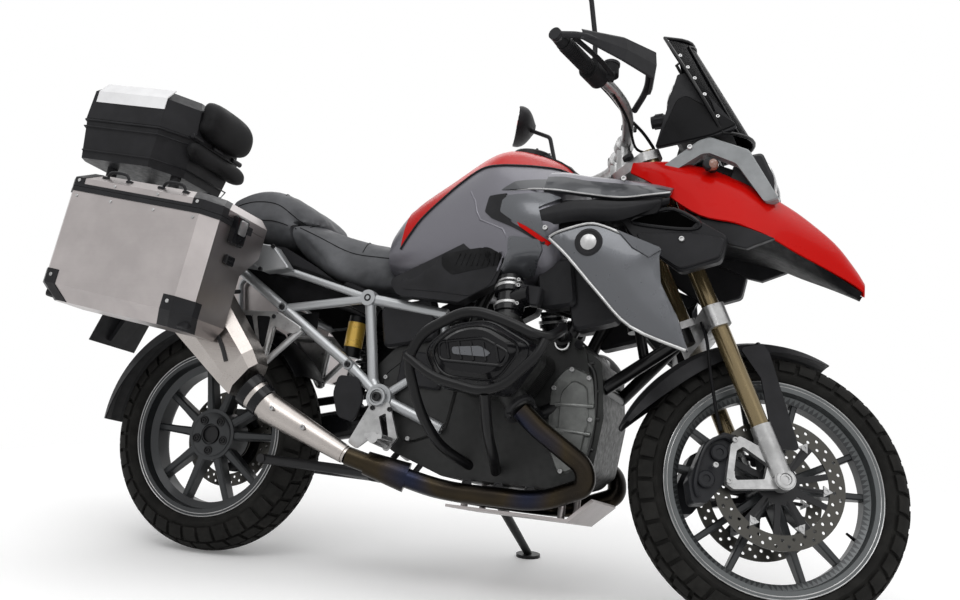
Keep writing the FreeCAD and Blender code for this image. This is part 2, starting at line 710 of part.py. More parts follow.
def tank_wings():
    """Shoulders between the tank and the beak over a swelling scoop, with the air ducts under them."""
    upper = skin([[V(x, -y, z) for y, z in ring] for x, ring in WING_SECTIONS], True)
    duct = slab(DUCT, -206, -172, 10).cut(slab(DUCT_MOUTH, -207, -206 + DUCT_DEPTH, 4))
    return pair(joined([upper, duct]).cut(room_for(TANK_SECTIONS)))


def radiators():
    core = block(V(-22, -42, -110), V(22, 42, 110))
    core.rotate(V(0, 0, 0), V(0, 1, 0), -18)
    core.rotate(V(0, 0, 0), V(0, 0, 1), -20)
    core.translate(V(1216, -208, 432))
    return pair(core)


BEAK_SECTIONS = [
    (1165, [(130, 762), (140, 750), (148, 732)]),
    (1250, [(106, 772), (146, 728), (172, 668)]),
    (1331, [(88, 758), (146, 704), (184, 615)]),
    (1412, [(85, 724), (138, 680), (180, 600)]),
]
BILL_SECTIONS = [
    (1412, [(0, 724), (85, 722), (138, 680), (180, 600)]),
    (1490, [(0, 692), (74, 678), (126, 628), (150, 572)]),
    (1545, [(0, 662), (60, 646), (100, 596), (118, 545)]),
    (1620, [(0, 596), (42, 586), (66, 548), (72, 514)]),
    (1690, [(0, 503), (18, 500), (28, 490), (30, 478)]),
]
BEAK_THICK = 5.0


def beak():
    """Red nose: two cheeks beside the lamp that run together into a bill."""
    def cheek(x, half):
        outer = [V(x, -y, z) for y, z in half]
        inner = [V(x, -y + BEAK_THICK, z - BEAK_THICK) for y, z in reversed(half)]
        return outer + inner
    right = skin([cheek(x, half) for x, half in BEAK_SECTIONS], True)

    def bill(x, half):
        outer = [V(x, y, z) for y, z in half] + [V(x, -y, z) for y, z in reversed(half[1:])]
        outer = outer[len(half) - 1::-1] + outer[:len(half) - 1:-1]
        inner = [V(x, max(abs(p.y) - BEAK_THICK, 0) * (1 if p.y > 0 else -1), p.z - BEAK_THICK) for p in reversed(outer)]
        return outer + inner
    front = skin([bill(x, half) for x, half in BILL_SECTIONS], True)
    return joined([front] + pair(right))


ARCH = [(1206, 742), (1304, 822), (1330, 830), (1424, 796), (1500, 672), (1468, 664), (1398, 760), (1330, 790),
        (1310, 786), (1250, 742)]


NOSE_BAR = V(1330, 0, 806)
NOSE_SPINE_RADIUS = 14.0


def nose_frame():
    """Grey arch on each side of the nose, with the front indicator in its opening."""
    arch = slab(ARCH, -126, -92, 8)
    lamp = rod(V(1338, -100, 752), V(1338, -168, 752), 14.0)
    stem = rod(V(1338, -96, 752), V(1318, -96, 790), 8.0)
    bar = rod(NOSE_BAR - ACROSS * 96, NOSE_BAR + ACROSS * 96, 10.0)
    spine = rod(steer_point(0, 0, HEAD_TOP - 45), NOSE_BAR, NOSE_SPINE_RADIUS)
    right = joined([arch, lamp, stem])
    return joined(pair(right) + [bar, spine])


def headlamp():
    """Lamp housing with two reflectors of unlike size behind one lens."""
    housing = slab([(1360, 700), (1390, 792), (1452, 802), (1486, 740), (1492, 694), (1440, 680)], -88, 88, 10)
    bracket = rod(V(1380, 0, 760), V(1300, 0, 776), 12.0)
    return joined([housing, bracket])


def windscreen():
    """Curved smoked screen."""
    rings = []
    for share in (0.0, 0.35, 0.7, 1.0):
        x, z = 1415 - 168 * share, 857 + 266 * share
        half = 112 + 40 * math.sin(share * math.pi) - 24 * share
        outer, inner = [], []
        for step in range(-4, 5):
            y = half * step / 4
            back = 62 * (step / 4) ** 2
            outer.append(V(x - back, y, z - back * 0.2))
            inner.append(V(x - back - 4, y, z - (back + 4) * 0.2))
        rings.append(outer + inner[::-1])
    return skin(rings, True)


def instrument_panel():
    """Cockpit behind the screen: a fairing, the dials' housing and the screen's knob."""
    side = slab([(1196, 806), (1236, 1000), (1262, 1004), (1392, 858), (1330, 836)], -112, -104, 6)
    dash = slab([(1212, 920), (1236, 1002), (1262, 1006), (1290, 930)], -104, 104, 8)
    floor = slab([(1238, 850), (1370, 862), (1376, 852), (1250, 834), (1238, 838)], -106, 106)
    knob = rod(V(1208, -64, 898), V(1172, -64, 892), 16.0)
    knob_stem = rod(V(1250, -64, 926), V(1205, -64, 897), 9.0)
    posts = [rod(V(1290, y, 850), V(1250, y, 940), 10.0) for y in (-64, 64)]
    posts += [rod(NOSE_BAR + V(0, y, 0), V(1328, y, 852), 9.0) for y in (-64, 64)]
    return joined(pair(side) + [dash, floor, knob, knob_stem] + posts)


RIDER_SEAT_SECTIONS = [
    (212, [(0, 548), (110, 548), (140, 560), (142, 590), (110, 606), (0, 606)]),
    (300, [(0, 500), (120, 500), (152, 515), (150, 552), (120, 574), (0, 566)]),
    (400, [(0, 440), (110, 440), (142, 456), (142, 505), (112, 545), (0, 538)]),
    (480, [(0, 430), (80, 430), (110, 446), (112, 500), (86, 540), (0, 540)]),
    (540, [(0, 440), (56, 440), (84, 452), (84, 500), (62, 540), (0, 548)]),
]
PILLION_SECTIONS = [
    (-20, [(0, 600), (70, 602), (92, 616), (92, 650), (76, 676), (0, 678)]),
    (40, [(0, 566), (100, 568), (128, 590), (122, 650), (96, 690), (0, 688)]),
    (150, [(0, 556), (112, 558), (142, 584), (134, 650), (100, 690), (0, 686)]),
    (250, [(0, 548), (112, 550), (140, 564), (132, 600), (98, 632), (0, 636)]),
    (300, [(0, 560), (90, 560), (110, 568), (100, 580), (70, 592), (0, 594)]),
]


def rider_seat():
    return body_of(RIDER_SEAT_SECTIONS).cut(room_for(TANK_SECTIONS))


def pillion_seat():
    return body_of(PILLION_SECTIONS).cut(room_for(RIDER_SEAT_SECTIONS))


def tail_unit():
    """Tail below the pillion seat, lamp, plate holder, blank plate and indicators."""
    tail = skin([symmetric_ring(410, [(0, 372), (80, 372), (100, 384), (98, 412), (0, 412)]),
                 symmetric_ring(300, [(0, 400), (90, 400), (118, 416), (116, 478), (0, 478)]),
                 symmetric_ring(200, [(0, 430), (96, 430), (126, 448), (124, 528), (0, 528)]),
                 symmetric_ring(60, [(0, 470), (96, 470), (128, 490), (126, 542), (0, 542)]),
                 symmetric_ring(-30, [(0, 500), (84, 500), (110, 516), (104, 566), (0, 566)]),
                 symmetric_ring(-160, [(0, 548), (60, 548), (84, 560), (80, 612), (0, 618)])], True)
    lamp = block(V(-188, -62, 572), V(-150, 62, 616))
    arm = skin([[V(-140, -40, 560), V(-140, 40, 560), V(-100, 40, 556), V(-100, -40, 556)],
                [V(-330, -36, 400), V(-330, 36, 400), V(-312, 36, 396), V(-312, -36, 396)],
                [V(-420, -34, 250), V(-420, 34, 250), V(-408, 34, 246), V(-408, -34, 246)]], True)
    plate = block(V(-429, -110, 236), V(-425, 110, 406))
    plate.rotate(V(-427, 0, 236), V(0, 1, 0), 24)
    stalks = [rod(V(-300, 0, 428), V(-300, side * 120, 440), 8.0) for side in (-1, 1)]
    lamps = [rod(V(-300, side * 118, 440), V(-300, side * 168, 443), 20.0, 16.0) for side in (-1, 1)]
    return joined([tail, lamp, arm, plate] + stalks + lamps)


GRAB_PLATE = [(126, 522), (206, 514), (262, 452), (182, 442), (112, 484)]


def luggage_carrier():
    """Grab handles beside the pillion seat, the rear rack and the loops that carry the panniers."""
    handles = pair(slab(GRAB_PLATE, -196, -158, 8))
    shapes = list(handles)
    low, high = -CARRIER_DROP - CARRIER_THICK, -CARRIER_DROP
    rack = block(V(30, -120, low), V(396, 120, high))
    for x in (64, 196):
        rack = rack.cut(block(V(x, -70, low - 1), V(x + 92, 70, high + 1)))
    rack.Placement = top_case_place()
    shapes.append(rack)
    for side in (-1, 1):
        shapes.append(pipe([V(170, side * 160, 500), V(80, side * 166, 560), V(-60, side * 150, 650),
                            V(-200, side * 108, 690)], 13.0))
        shapes.append(rod(V(-60, side * 148, 522), V(-186, side * 108, 688), 10.0))
        rail = [V(-52, side * 150, 520), V(-120, side * 214, 540), V(60, side * 222, 520), V(150, side * 222, 500),
                V(150, side * 160, 470)]
        shapes.append(pipe(rail, 9.0, 30))
    return joined(shapes)


def pannier_rack():
    """Loops behind the panniers, from the tail down to the pillion brackets."""
    y = -PANNIER_INNER + RACK_STANDOFF
    hoop = pipe([V(-100, y, 536), V(-150, y, 500), V(-120, y, 330), V(60, y, 300), V(96, y, 330), V(120, y, 500)],
                RACK_RADIUS, 24)
    pucks = [rod(V(x, y, z), V(x, -PANNIER_INNER, z), 13.0) for x, z in ((-100, 536), (120, 500))]
    stubs = [rod(V(x, y, z), V(x, -SUBFRAME_Y, z + 6), RACK_RADIUS) for x, z in ((-60, 524), (96, 452))]
    return joined([hoop] + pucks + stubs)


def arc_skin(centre, stations, thickness):
    """Mudguard: bands of skin round a wheel. A station is its angle, radius, half width and side drop."""
    rings = []
    for angle, radius, half, drop in stations:
        turn = math.radians(angle)
        out = V(math.cos(turn), 0, math.sin(turn))
        outer, inner = [], []
        for share, fall in ((-1.0, 1.0), (-0.86, 0.36), (-0.5, 0.08), (0.0, 0.0), (0.5, 0.08), (0.86, 0.36), (1.0, 1.0)):
            outer.append(centre + out * (radius - drop * fall) + V(0, half * share, 0))
            shrink = half * share * (1 - thickness / half)
            inner.append(centre + out * (radius - drop * fall - thickness * (1 if abs(share) < 1 else 0)) + V(0, shrink, 0))
        rings.append(outer + inner[::-1])
    return skin(rings, False)


def rear_mudguard():
    stations = [(64, 346, 60, 30), (90, 348, 90, 44), (120, 352, 98, 50), (150, 354, 98, 44), (178, 356, 90, 20)]
    guard = arc_skin(REAR_AXLE, stations, 4.0)
    arm = pipe([V(-60, 130, 60), V(-70, 128, 200), V(-90, 96, 326)], 10.0, 40)
    front_arm = pipe([V(150, 128, 50), V(150, 114, 240), V(146, 64, 318)], 8.0, 40)
    return joined([guard, arm, front_arm])


def skid_plate():
    """Bent plate under the engine, with round holes."""
    outline = [(758, -122), (1070, -124), (1128, -70), (1122, -64), (1066, -117), (758, -115)]
    plate = slab(outline, -118, 118)
    holes = [rod(V(x, y, -140), V(x, y, -100), 11.0) for x in (830, 900, 970) for y in (-80, 0, 80)]
    lugs = [rod(V(x, y, -118), V(x, y, -48), 9.0) for x in (790, 1040) for y in (-70, 70)]
    return joined([plate.cut(holes)] + lugs)


def crash_bars():
    """Black tube guards round both cylinders, tied across under the engine."""
    upper = [V(1020, -149, 314), V(1040, -220, 326), V(1062, -300, 300), V(1050, -386, 262), V(960, -400, 300), V(868, -400, 322),
             V(760, -398, 262), V(728, -394, 196), V(745, -330, 90), V(760, -210, 18), V(815, -118, -18)]
    lower = [V(726, -396, 206), V(800, -402, 158), V(951, -400, 128), V(1040, -392, 226), V(1052, -384, 262)]
    upright = [V(928, -398, 134), V(912, -300, 50), V(900, -200, 0), V(880, -118, -26)]
    right = joined([pipe(upper, 12.5), pipe(lower, 11.0), pipe(upright, 12.5)])
    return pair(right)


# Side stand and centre stand
SIDE_PIVOT = V(775, 158, -52)
SIDE_FOOT_X = 820.0
SIDE_FOOT_Y = 420.0
SIDE_FOLDED = V(-320, 62, -14)
FOOT_THICK = 9.0
STAND_EYE = 14.0
CENTRE_PIVOT = V(560, 118, -62)
CENTRE_LEG = 322.0


def side_stand():
    foot = V(SIDE_FOOT_X, SIDE_FOOT_Y, floor_height(SIDE_FOOT_X, SIDE_FOOT_Y))
    pad = rod(foot, foot + FLOOR_UP * FOOT_THICK, 34.0)
    ankle = foot + FLOOR_UP * FOOT_THICK
    leg = rod(ankle, SIDE_PIVOT, 11.0, 14.0)
    eye = rod(SIDE_PIVOT - SIDE_AXIS * STAND_EYE, SIDE_PIVOT + SIDE_AXIS * STAND_EYE, 20.0)
    return joined([pad, leg, eye])


def side_axis():
    """Axis that swings the leg from its parked place back along the machine's side."""
    foot = V(SIDE_FOOT_X, SIDE_FOOT_Y, floor_height(SIDE_FOOT_X, SIDE_FOOT_Y))
    parked = foot - SIDE_PIVOT
    return parked.cross(SIDE_FOLDED).normalize()


SIDE_AXIS = side_axis()


def stand_brackets():
    """Lugs under the engine that the two stands turn on."""
    plate = SIDE_PIVOT + SIDE_AXIS * (STAND_EYE + BODY_GAP)
    lug = joined([rod(plate, plate + SIDE_AXIS * 10, 20.0), rod(plate + SIDE_AXIS * 8, V(766, 118, 0), 8.0)])
    shapes = [lug]
    for side in (-1, 1):
        pivot = V(CENTRE_PIVOT.x, side * CENTRE_PIVOT.y, CENTRE_PIVOT.z)
        inner = pivot - V(0, side * (STAND_EYE + BODY_GAP), 0)
        shapes.append(joined([rod(inner - V(0, side * 12, 0), inner, 20.0),
                              rod(inner - V(0, side * 9, 0), V(610, side * 92, 10), 8.0)]))
    return shapes


def centre_stand():
    shapes = []
    for side in (-1, 1):
        pivot = V(CENTRE_PIVOT.x, side * CENTRE_PIVOT.y, CENTRE_PIVOT.z)
        foot = V(pivot.x - CENTRE_LEG, side * (CENTRE_PIVOT.y + 20), pivot.z + 6)
        shapes.append(rod(pivot, foot, 13.0))
        shapes.append(rod(pivot - V(0, STAND_EYE, 0), pivot + V(0, STAND_EYE, 0), 20.0))
        shapes.append(rod(foot - V(0, 18, 0), foot + V(0, 18, 0), 12.0))
    bar_x = CENTRE_PIVOT.x - 130
    shapes.append(rod(V(bar_x, -124, CENTRE_PIVOT.z + 2), V(bar_x, 124, CENTRE_PIVOT.z + 2), 12.0))
    return joined(shapes)


# Fork, handlebar and what is on them, drawn steered straight ahead
def fork_tubes():
    return [rod(fork_point(side, FORK_LEG_TOP), fork_point(side, FORK_TUBE_TOP), FORK_TUBE_RADIUS) for side in (-1, 1)]


LUG_OUTLINE = [(1504, 58), (1402, 96), (1384, 72), (1378, -20), (1396, -30), (1500, -12)]
LUG_WINDOW = [(1470, 40), (1412, 72), (1398, 60), (1394, 2), (1402, -8), (1464, 4)]
LUG_THICK = 18.0


def fork_legs():
    """Sliders with the axle clamps, the caliper lugs and the axle."""
    reach = V(0, AXLE_HALF, 0)
    axle = sleeve(FRONT_AXLE - reach, FRONT_AXLE + reach, AXLE_RADIUS, AXLE_BORE)
    shapes = [axle]
    for side in (-1, 1):
        low = fork_point(side, 14)
        leg = rod(low, fork_point(side, FORK_LEG_TOP), FORK_LEG_RADIUS)
        boss = sleeve(FRONT_AXLE + V(0, side * 88, 0), FRONT_AXLE + V(0, side * 122, 0), 24.0, AXLE_RADIUS - 1)
        lug = slab(LUG_OUTLINE, CALIPER_FACE, CALIPER_FACE + LUG_THICK, 8)
        lug = lug.cut(slab(LUG_WINDOW, CALIPER_FACE - 1, CALIPER_FACE + LUG_THICK + 1, 5))
        if side < 0:
            lug = mirrored(lug)
        shapes += [leg, boss, lug]
    bore = rod(FRONT_AXLE - reach, FRONT_AXLE + reach, AXLE_BORE)
    return joined(shapes).cut(bore)


def brake_calipers():
    """Four-piston calipers behind the fork legs, each astride its disc."""
    offset = FRONT_DISC_OFFSET
    outline = [(1400, 100), (1372, 104), (1330, 74), (1298, -20), (1310, -72), (1344, -66), (1382, -10), (1408, 60)]
    body = slab(outline, offset - 30, CALIPER_FACE, 10)
    room = rod(FRONT_AXLE + V(0, offset - 7, 0), FRONT_AXLE + V(0, offset + 7, 0), FRONT_DISC_RADIUS + 5)
    body = body.cut(room)
    pads = [rod(V(x, CALIPER_FACE - 1, z), V(x, CALIPER_FACE + 2, z), 17.0) for x, z in ((1362, 52), (1336, -14))]
    return pair(joined([body] + pads))


def front_mudguard():
    stations = [(69, 352, 30, 6), (85, 356, 52, 26), (115, 360, 66, 46), (140, 364, 66, 50), (155, 369, 60, 34),
                (164, 372, 50, 14)]
    guard = arc_skin(FRONT_AXLE, stations, 4.0)
    stays = []
    for side in (-1, 1):
        stays.append(slab([(1398, 318), (1452, 338), (1468, 318), (1548, 92), (1490, 84), (1452, 250)],
                          side * 82, side * 88, 8))
        stays.append(rod(V(1448, side * 60, 344), V(1448, side * 84, 322), 7.0))
        stays.append(rod(V(1494, side * 84, 104), V(1470, side * 94, 108), 7.0))
    return joined([guard] + stays)


def yokes():
    """Fork bridge above the wheel, and the top yoke that carries the handlebar."""
    def plate(low, high, ahead, reach, waist):
        ring = [(ahead + 27, -reach), (ahead + 27, reach), (ahead - 27, reach), (-waist, 40), (-waist, -40),
                (ahead - 27, -reach)]
        face = Part.Face(loop([steer_point(a, y, low) for a, y in ring], 18))
        return face.extrude(STEER_UP * (high - low))
    bridge = plate(BRIDGE_LOW, BRIDGE_HIGH, AXLE_OFFSET, FORK_HALF_SPACING + 28, -BALL_RADIUS - 6)
    tongue_low = BALL_UP + BALL_HALF + BODY_GAP
    tongue = Part.Face(loop([steer_point(a, y, tongue_low) for a, y in ((34, -34), (34, 34), (-18, 18), (-18, -18))], 8))
    bridge = joined([bridge, tongue.extrude(STEER_UP * 18)])
    top = plate(YOKE_LOW, YOKE_HIGH, AXLE_OFFSET, FORK_HALF_SPACING + 26, 34)
    risers = []
    for y in (-42, 42):
        risers.append(rod(steer_point(0, y, YOKE_HIGH - 4), BAR_CENTRE + V(0, y, 0), 20.0))
        risers.append(rod(BAR_CENTRE + V(0, y - 16, 0), BAR_CENTRE + V(0, y + 16, 0), BAR_RADIUS + 10))
    nut = rod(steer_point(0, 0, YOKE_HIGH - 2), steer_point(0, 0, YOKE_HIGH + 14), 22.0)
    stem = rod(steer_point(0, 0, 796), steer_point(0, 0, YOKE_LOW + 2), 16.0)
    upper = joined([top, nut, stem] + risers)
    return [bridge, upper.cut(bar_room())]


BAR_CENTRE = V(1084, 0, 838)
BAR_ROUTE = [(0, 0, 0), (0, 88, 0), (-22, 182, 20), (-78, 262, 24), (-136, 322, 20), (-224, 432, 14)]


def bar_points(side):
    return [BAR_CENTRE + V(x, side * y, z) for x, y, z in BAR_ROUTE]


def handlebar(radius=BAR_RADIUS):
    return pipe(bar_points(-1)[:0:-1] + bar_points(1)[1:], radius)


def bar_room():
    """The space that the handlebar takes from what is clamped round it."""
    return handlebar(BAR_RADIUS + BODY_GAP)


def hand_controls():
    """Grips, switch blocks, levers, bar-end weights and the two reservoirs."""
    shapes = []
    for side in (-1, 1):
        points = bar_points(side)
        inner, end = points[4], points[5]
        along = (end - inner).normalize()
        grip = rod(inner + along * 18, end - along * 2, GRIP_RADIUS)
        weight = rod(end + along * BODY_GAP, end + along * 24, 17.0, 15.0)
        switch = rod(inner - along * 34, inner + along * 19, 26.0)
        perch = rod(inner - along * 10, inner - along * 10 + V(46, -side * 6, 4), 13.0)
        lever = pipe([inner + V(44, side * 2, 2), inner + along * 70 + V(54, 0, 0), inner + along * 168 + V(40, 0, 2)], 6.0)
        tank = rod(inner - along * 34 + V(26, 0, 12), inner - along * 34 + V(24, 0, 46), 19.0)
        shapes += [joined([grip, switch, perch, lever, tank]).cut(bar_room()), weight]
    return shapes


def handguards():
    """Open frame round each lever with a shield on its front."""
    shapes = []
    for side in (-1, 1):
        points = bar_points(side)
        end = points[5]
        along = (points[5] - points[4]).normalize()
        start = end + along * 32
        loop_points = [start, start + V(62, side * 6, 6), points[4] + V(126, side * 40, 14), points[3] + V(84, side * 8, 6),
                       points[2] + V(16, 0, 2)]
        frame = pipe(loop_points, 8.0)
        eye = rod(end + along * 24.4, end + along * 38, 15.0)
        front = [points[4] + V(126, side * 40, 14), start + V(58, side * 8, 6)]
        rings = []
        for point, low, high in ((loop_points[3] + V(4, 0, 0), -16, 22), (front[0] + V(8, 0, 0), -34, 42),
                                 ((front[0] + front[1]) * 0.5 + V(16, side * 6, 0), -30, 34), (front[1], -12, 14)):
            rings.append([point + V(-3, 0, low), point + V(4, 0, low + 3), point + V(8, 0, (low + high) / 2),
                          point + V(4, 0, high - 3), point + V(-3, 0, high), point + V(2, 0, (low + high) / 2)])
        shield = skin(rings, True)
        shapes.append(joined([frame, eye, shield]).cut(bar_room()))
    return shapes


def mirrors():
    """Mirrors on thin stems."""
    shapes = []
    for side in (-1, 1):
        base = bar_points(side)[4] + V(4, -side * 10, 0)
        stem = pipe([base + V(0, 0, 27), base + V(-6, side * 6, 96), base + V(-30, side * 26, 196),
                     base + V(-96, side * 90, 250)], 6.0, 30)
        head = V(base.x - 116, base.y + side * 104, base.z + 262)
        rings = []
        for depth, share in ((0.0, 1.0), (22.0, 0.96), (44.0, 0.6), (58.0, 0.2)):
            ring = []
            for step in range(12):
                turn = math.radians(TURN / 12 * step)
                ring.append(head + V(depth - 14, math.cos(turn) * 84 * share, math.sin(turn) * 52 * share))
            rings.append(ring)
        body = smooth_skin(rings)
        shapes.append(joined([body, stem]))
    return shapes


def brake_hoses():
    """Hose from the hand lever over the yoke and down behind the right fork leg."""
    upper = [V(978, -270, 858), V(1008, -232, 860), V(1062, -160, 856), V(1118, -116, 840), V(1150, -98, 812),
             V(1154, -96, 794)]
    lower = [V(1306, -74, 372), V(1318, -88, 330), V(1334, -90, 230), V(1352, -88, 150), V(1366, -86, 108)]
    return [pipe(upper, 4.0), pipe(lower, 4.0)]


# Luggage
def pannier_place(side):
    """Placement of a pannier: its own X is forward, Y outward to the right, Z up, from its outer face."""
    turn = FreeCAD.Rotation(V(0, 1, 0), PANNIER_TILT)
    return FreeCAD.Placement(V(-62, 0, 405), turn)


def case_ring(inset, height, inner, shrink=0.0):
    """Plan outline of a pannier at one height, seen from above, for the right side."""
    half = PANNIER_LENGTH / 2
    cut = PANNIER_CHAMFER
    out = PANNIER_OUTER - inset - shrink
    back = -half - cut + inset + shrink * 0.6
    front = half + cut - inset - shrink * 0.6
    near = inner + inset
    return [V(back, -near, height), V(front, -near, height), V(front, -(out - cut), height), V(front - cut, -out, height),
            V(back + cut, -out, height), V(back, -(out - cut), height)]


def pannier_body(inner, notch):
    """Open tray of sheet metal with bevelled corners, its inner wall stepped where notch is given."""
    low = -PANNIER_HEIGHT / 2
    high = PANNIER_HEIGHT / 2
    bevel = PANNIER_FLOOR_BEVEL

    def solid(inset, top):
        floor = low + inset
        rings = [case_ring(inset, floor, inner, bevel - inset * 0.4), case_ring(inset, low + bevel, inner), case_ring(inset, top, inner)]
        shape = skin(rings, True)
        if notch:
            step = notch + inset
            edge = [V(-400, -inner + 1, low - 1), V(-400, -step, low - 1), V(-400, -step, 30 + inset),
                    V(-400, -inner + 1, 96 + inset)]
            shape = shape.cut(Part.Face(loop(edge)).extrude(V(800, 0, 0)))
        return shape
    return solid(0.0, high).cut(solid(CASE_WALL, high + 1))


def pannier_lid(inner):
    """Lid with a band round its edge and a bevel up to its flat top."""
    base = PANNIER_HEIGHT / 2 + LID_GAP
    top = base + LID_BAND + LID_RISE

    def solid(inset, floor):
        rings = [case_ring(inset, floor, inner), case_ring(inset, base + LID_BAND, inner),
                 case_ring(inset, top - inset, inner, LID_BEVEL)]
        return skin(rings, True)
    return solid(0.0, base).cut(solid(CASE_WALL, base - 1))


def panniers():
    """Both trays and both lids, in place."""
    shapes = {}
    for name, inner, notch in (("right", PANNIER_INNER, PANNIER_CUT_INNER), ("left", PANNIER_INNER, None)):
        body = pannier_body(inner, notch)
        lid = pannier_lid(inner)
        for key, shape in (("pannier_" + name, body), ("pannier_lid_" + name, lid)):
            shape.Placement = pannier_place(name)
            shapes[key] = shape if name == "right" else mirrored(shape)
    return shapes


TOP_CASE_FLOOR = V(-545, 0, 781)
TOP_CASE_SPLIT = 120.0
TOP_CASE_TOP = 242.0
LID_HINGE_X = 400.0
LID_HINGE_Z = 127.0


def top_case_place():
    return FreeCAD.Placement(TOP_CASE_FLOOR, FreeCAD.Rotation(V(0, 1, 0), TOP_CASE_TILT))


def top_ring(inset, height, half, front, rear=0.0):
    cut = 44.0
    return [V(rear + inset, -half + cut, height), V(rear + cut * 0.5 + inset * 0.4, -half + inset, height),
            V(front - cut * 1.6 - inset * 0.4, -half + inset, height), V(front - inset, -half + cut * 2, height),
            V(front - inset, half - cut * 2, height), V(front - cut * 1.6 - inset * 0.4, half - inset, height),
            V(rear + cut * 0.5 + inset * 0.4, half - inset, height), V(rear + inset, half - cut, height)]


def top_case():
    """Lower half and lid of the top case."""
    half = TOP_CASE_HALF_WIDTH

    def lower(inset, top):
        rings = [top_ring(inset, inset, half - 16, 348, 6), top_ring(inset, top, half, 366)]
        return skin(rings, True)

    def upper(inset, base):
        rings = [top_ring(inset, base, half + 2, 368, -2), top_ring(inset, TOP_CASE_TOP - 34, half, 360, 4),
                 top_ring(inset, TOP_CASE_TOP - inset, half - 30, 330, 34)]
        return skin(rings, True)
    wall = TOP_CASE_WALL
    tray = lower(0.0, TOP_CASE_SPLIT).cut(lower(wall, TOP_CASE_SPLIT + 1))
    feet = [rod(V(x, y, -CARRIER_DROP), V(x, y, 1), 16.0) for x in (80, 320) for y in (-95, 95)]
    lid = upper(0.0, TOP_CASE_SPLIT + LID_GAP).cut(upper(wall, TOP_CASE_SPLIT))
    shapes = {"top_case": joined([tray] + feet), "top_case_lid": lid}
    for shape in shapes.values():
        shape.Placement = top_case_place()
    return shapes


def back_pads():
    """Pads on the front of the top case: one on the lid, one below the seam."""
    def pad(sections):
        return smooth_skin([[V(x, y, z) for x, z in ring] for y, ring in sections])
    upper = []
    for y, grow in ((-118, 0.5), (-100, 0.85), (-50, 1.0), (50, 1.0), (100, 0.85), (118, 0.5)):
        middle = V(392, 0, 186)
        ring = [(-24, -56), (20, -50), (34, 0), (10, 54), (-40, 66), (-44, 10)]
        upper.append((y, [(middle.x + x * grow, middle.z + z * grow) for x, z in ring]))
    lower = []
    for y, grow in ((-150, 0.5), (-130, 0.85), (-60, 1.0), (60, 1.0), (130, 0.85), (150, 0.5)):
        middle = V(386, 0, 84)
        ring = [(-19, -32), (14, -28), (18, 0), (8, 22), (-19, 26)]
        lower.append((y, [(middle.x + x * grow, middle.z + z * grow) for x, z in ring]))
    shapes = {"backrest_pad": pad(upper), "lower_pad": pad(lower)}
    for shape in shapes.values():
        shape.Placement = top_case_place()
    return shapes


def build():
    """All nodes by body, drawn upright and steered straight ahead."""
    cases = {**panniers(), **top_case(), **back_pads()}
    chassis = {
        "crankcase": crankcase(),
        "cylinders": pair(cylinder()),
        "valve_covers": pair(valve_cover()),
        "throttle_bodies": pair(throttle_body()),
        "exhaust_pipes": exhaust_pipes(),
        "silencer": silencer(),
        "rear_subframe": rear_subframe(),
        "main_frame": main_frame(),
        "stand_brackets": stand_brackets(),
        "swingarm": swingarm(),
        "rear_caliper": rear_caliper(),
        "footrests": footrests(),
        "rear_shock": rear_shock(),
        "front_suspension": front_suspension(),
        "tail_unit": tail_unit(),
        "luggage_carrier": luggage_carrier(),
        "pannier_racks": pair(pannier_rack()),
        "fuel_tank": fuel_tank(),
        "rider_seat": rider_seat(),
        "pillion_seat": pillion_seat(),
        "side_panels": side_panels(),
        "radiators": radiators(),
        "radiator_shrouds": radiator_shrouds(),
        "tank_wings": tank_wings(),
        "headlamp": headlamp(),
        "nose_frame": nose_frame(),
        "beak": beak(),
        "instrument_panel": instrument_panel(),
        "windscreen": windscreen(),
        "rear_mudguard": rear_mudguard(),
        "skid_plate": skid_plate(),
        "crash_bars": crash_bars(),
        "pannier_right": cases["pannier_right"],
        "pannier_left": cases["pannier_left"],
        "top_case": cases["top_case"],
        "lower_pad": cases["lower_pad"],
    }
    steering = {
        "fork_tubes": fork_tubes(),
        "fork_legs": fork_legs(),
        "yokes": yokes(),
        "handlebar": handlebar(),
        "hand_controls": hand_controls(),
        "handguards": handguards(),
        "mirrors": mirrors(),
        "brake_calipers": brake_calipers(),
        "front_mudguard": front_mudguard(),
        "brake_hoses": brake_hoses(),
    }
    front = {
        "front_wheel": front_wheel(),
        "front_tyre": tyre(FRONT_AXLE, FRONT_RADIUS, FRONT_HALF_WIDTH, FRONT_CROWN, FRONT_SHOULDER, FRONT_FLANGE,
                           FRONT_RIM_HALF),
        "front_discs": front_discs(),
    }
    rear = {
        "rear_wheel": rear_wheel(),
        "rear_tyre": tyre(REAR_AXLE, REAR_RADIUS, REAR_HALF_WIDTH, REAR_CROWN, REAR_SHOULDER, REAR_FLANGE,
                          REAR_RIM_HALF),
        "rear_disc": rear_disc(),
    }
    return {
        "chassis": chassis,
        "steering": steering,
        "front_wheel": front,
        "rear_wheel": rear,
        "side_stand": {"side_stand": side_stand()},
        "centre_stand": {"centre_stand": centre_stand()},
        "pannier_lid_right": {"pannier_lid_right": cases["pannier_lid_right"]},
        "pannier_lid_left": {"pannier_lid_left": cases["pannier_lid_left"]},
        "top_case_lid": {"top_case_lid": cases["top_case_lid"], "backrest_pad": cases["backrest_pad"]},
    }


def one_shape(shape):
    return Part.makeCompound(shape) if isinstance(shape, list) else shape


def trimmed(nodes):
    """Nodes of one body, each cut back by those listed before it where they meet."""
    done = {}
    for name, shape in nodes.items():
        shape = one_shape(shape)
        for other in done.values():
            if shape.BoundBox.intersect(other.BoundBox):
                shape = shape.cut(other)
        crumb = max(solid.Volume for solid in shape.Solids) * 0.002
        done[name] = Part.makeCompound([solid for solid in shape.Solids if solid.Volume > crumb])
    return done


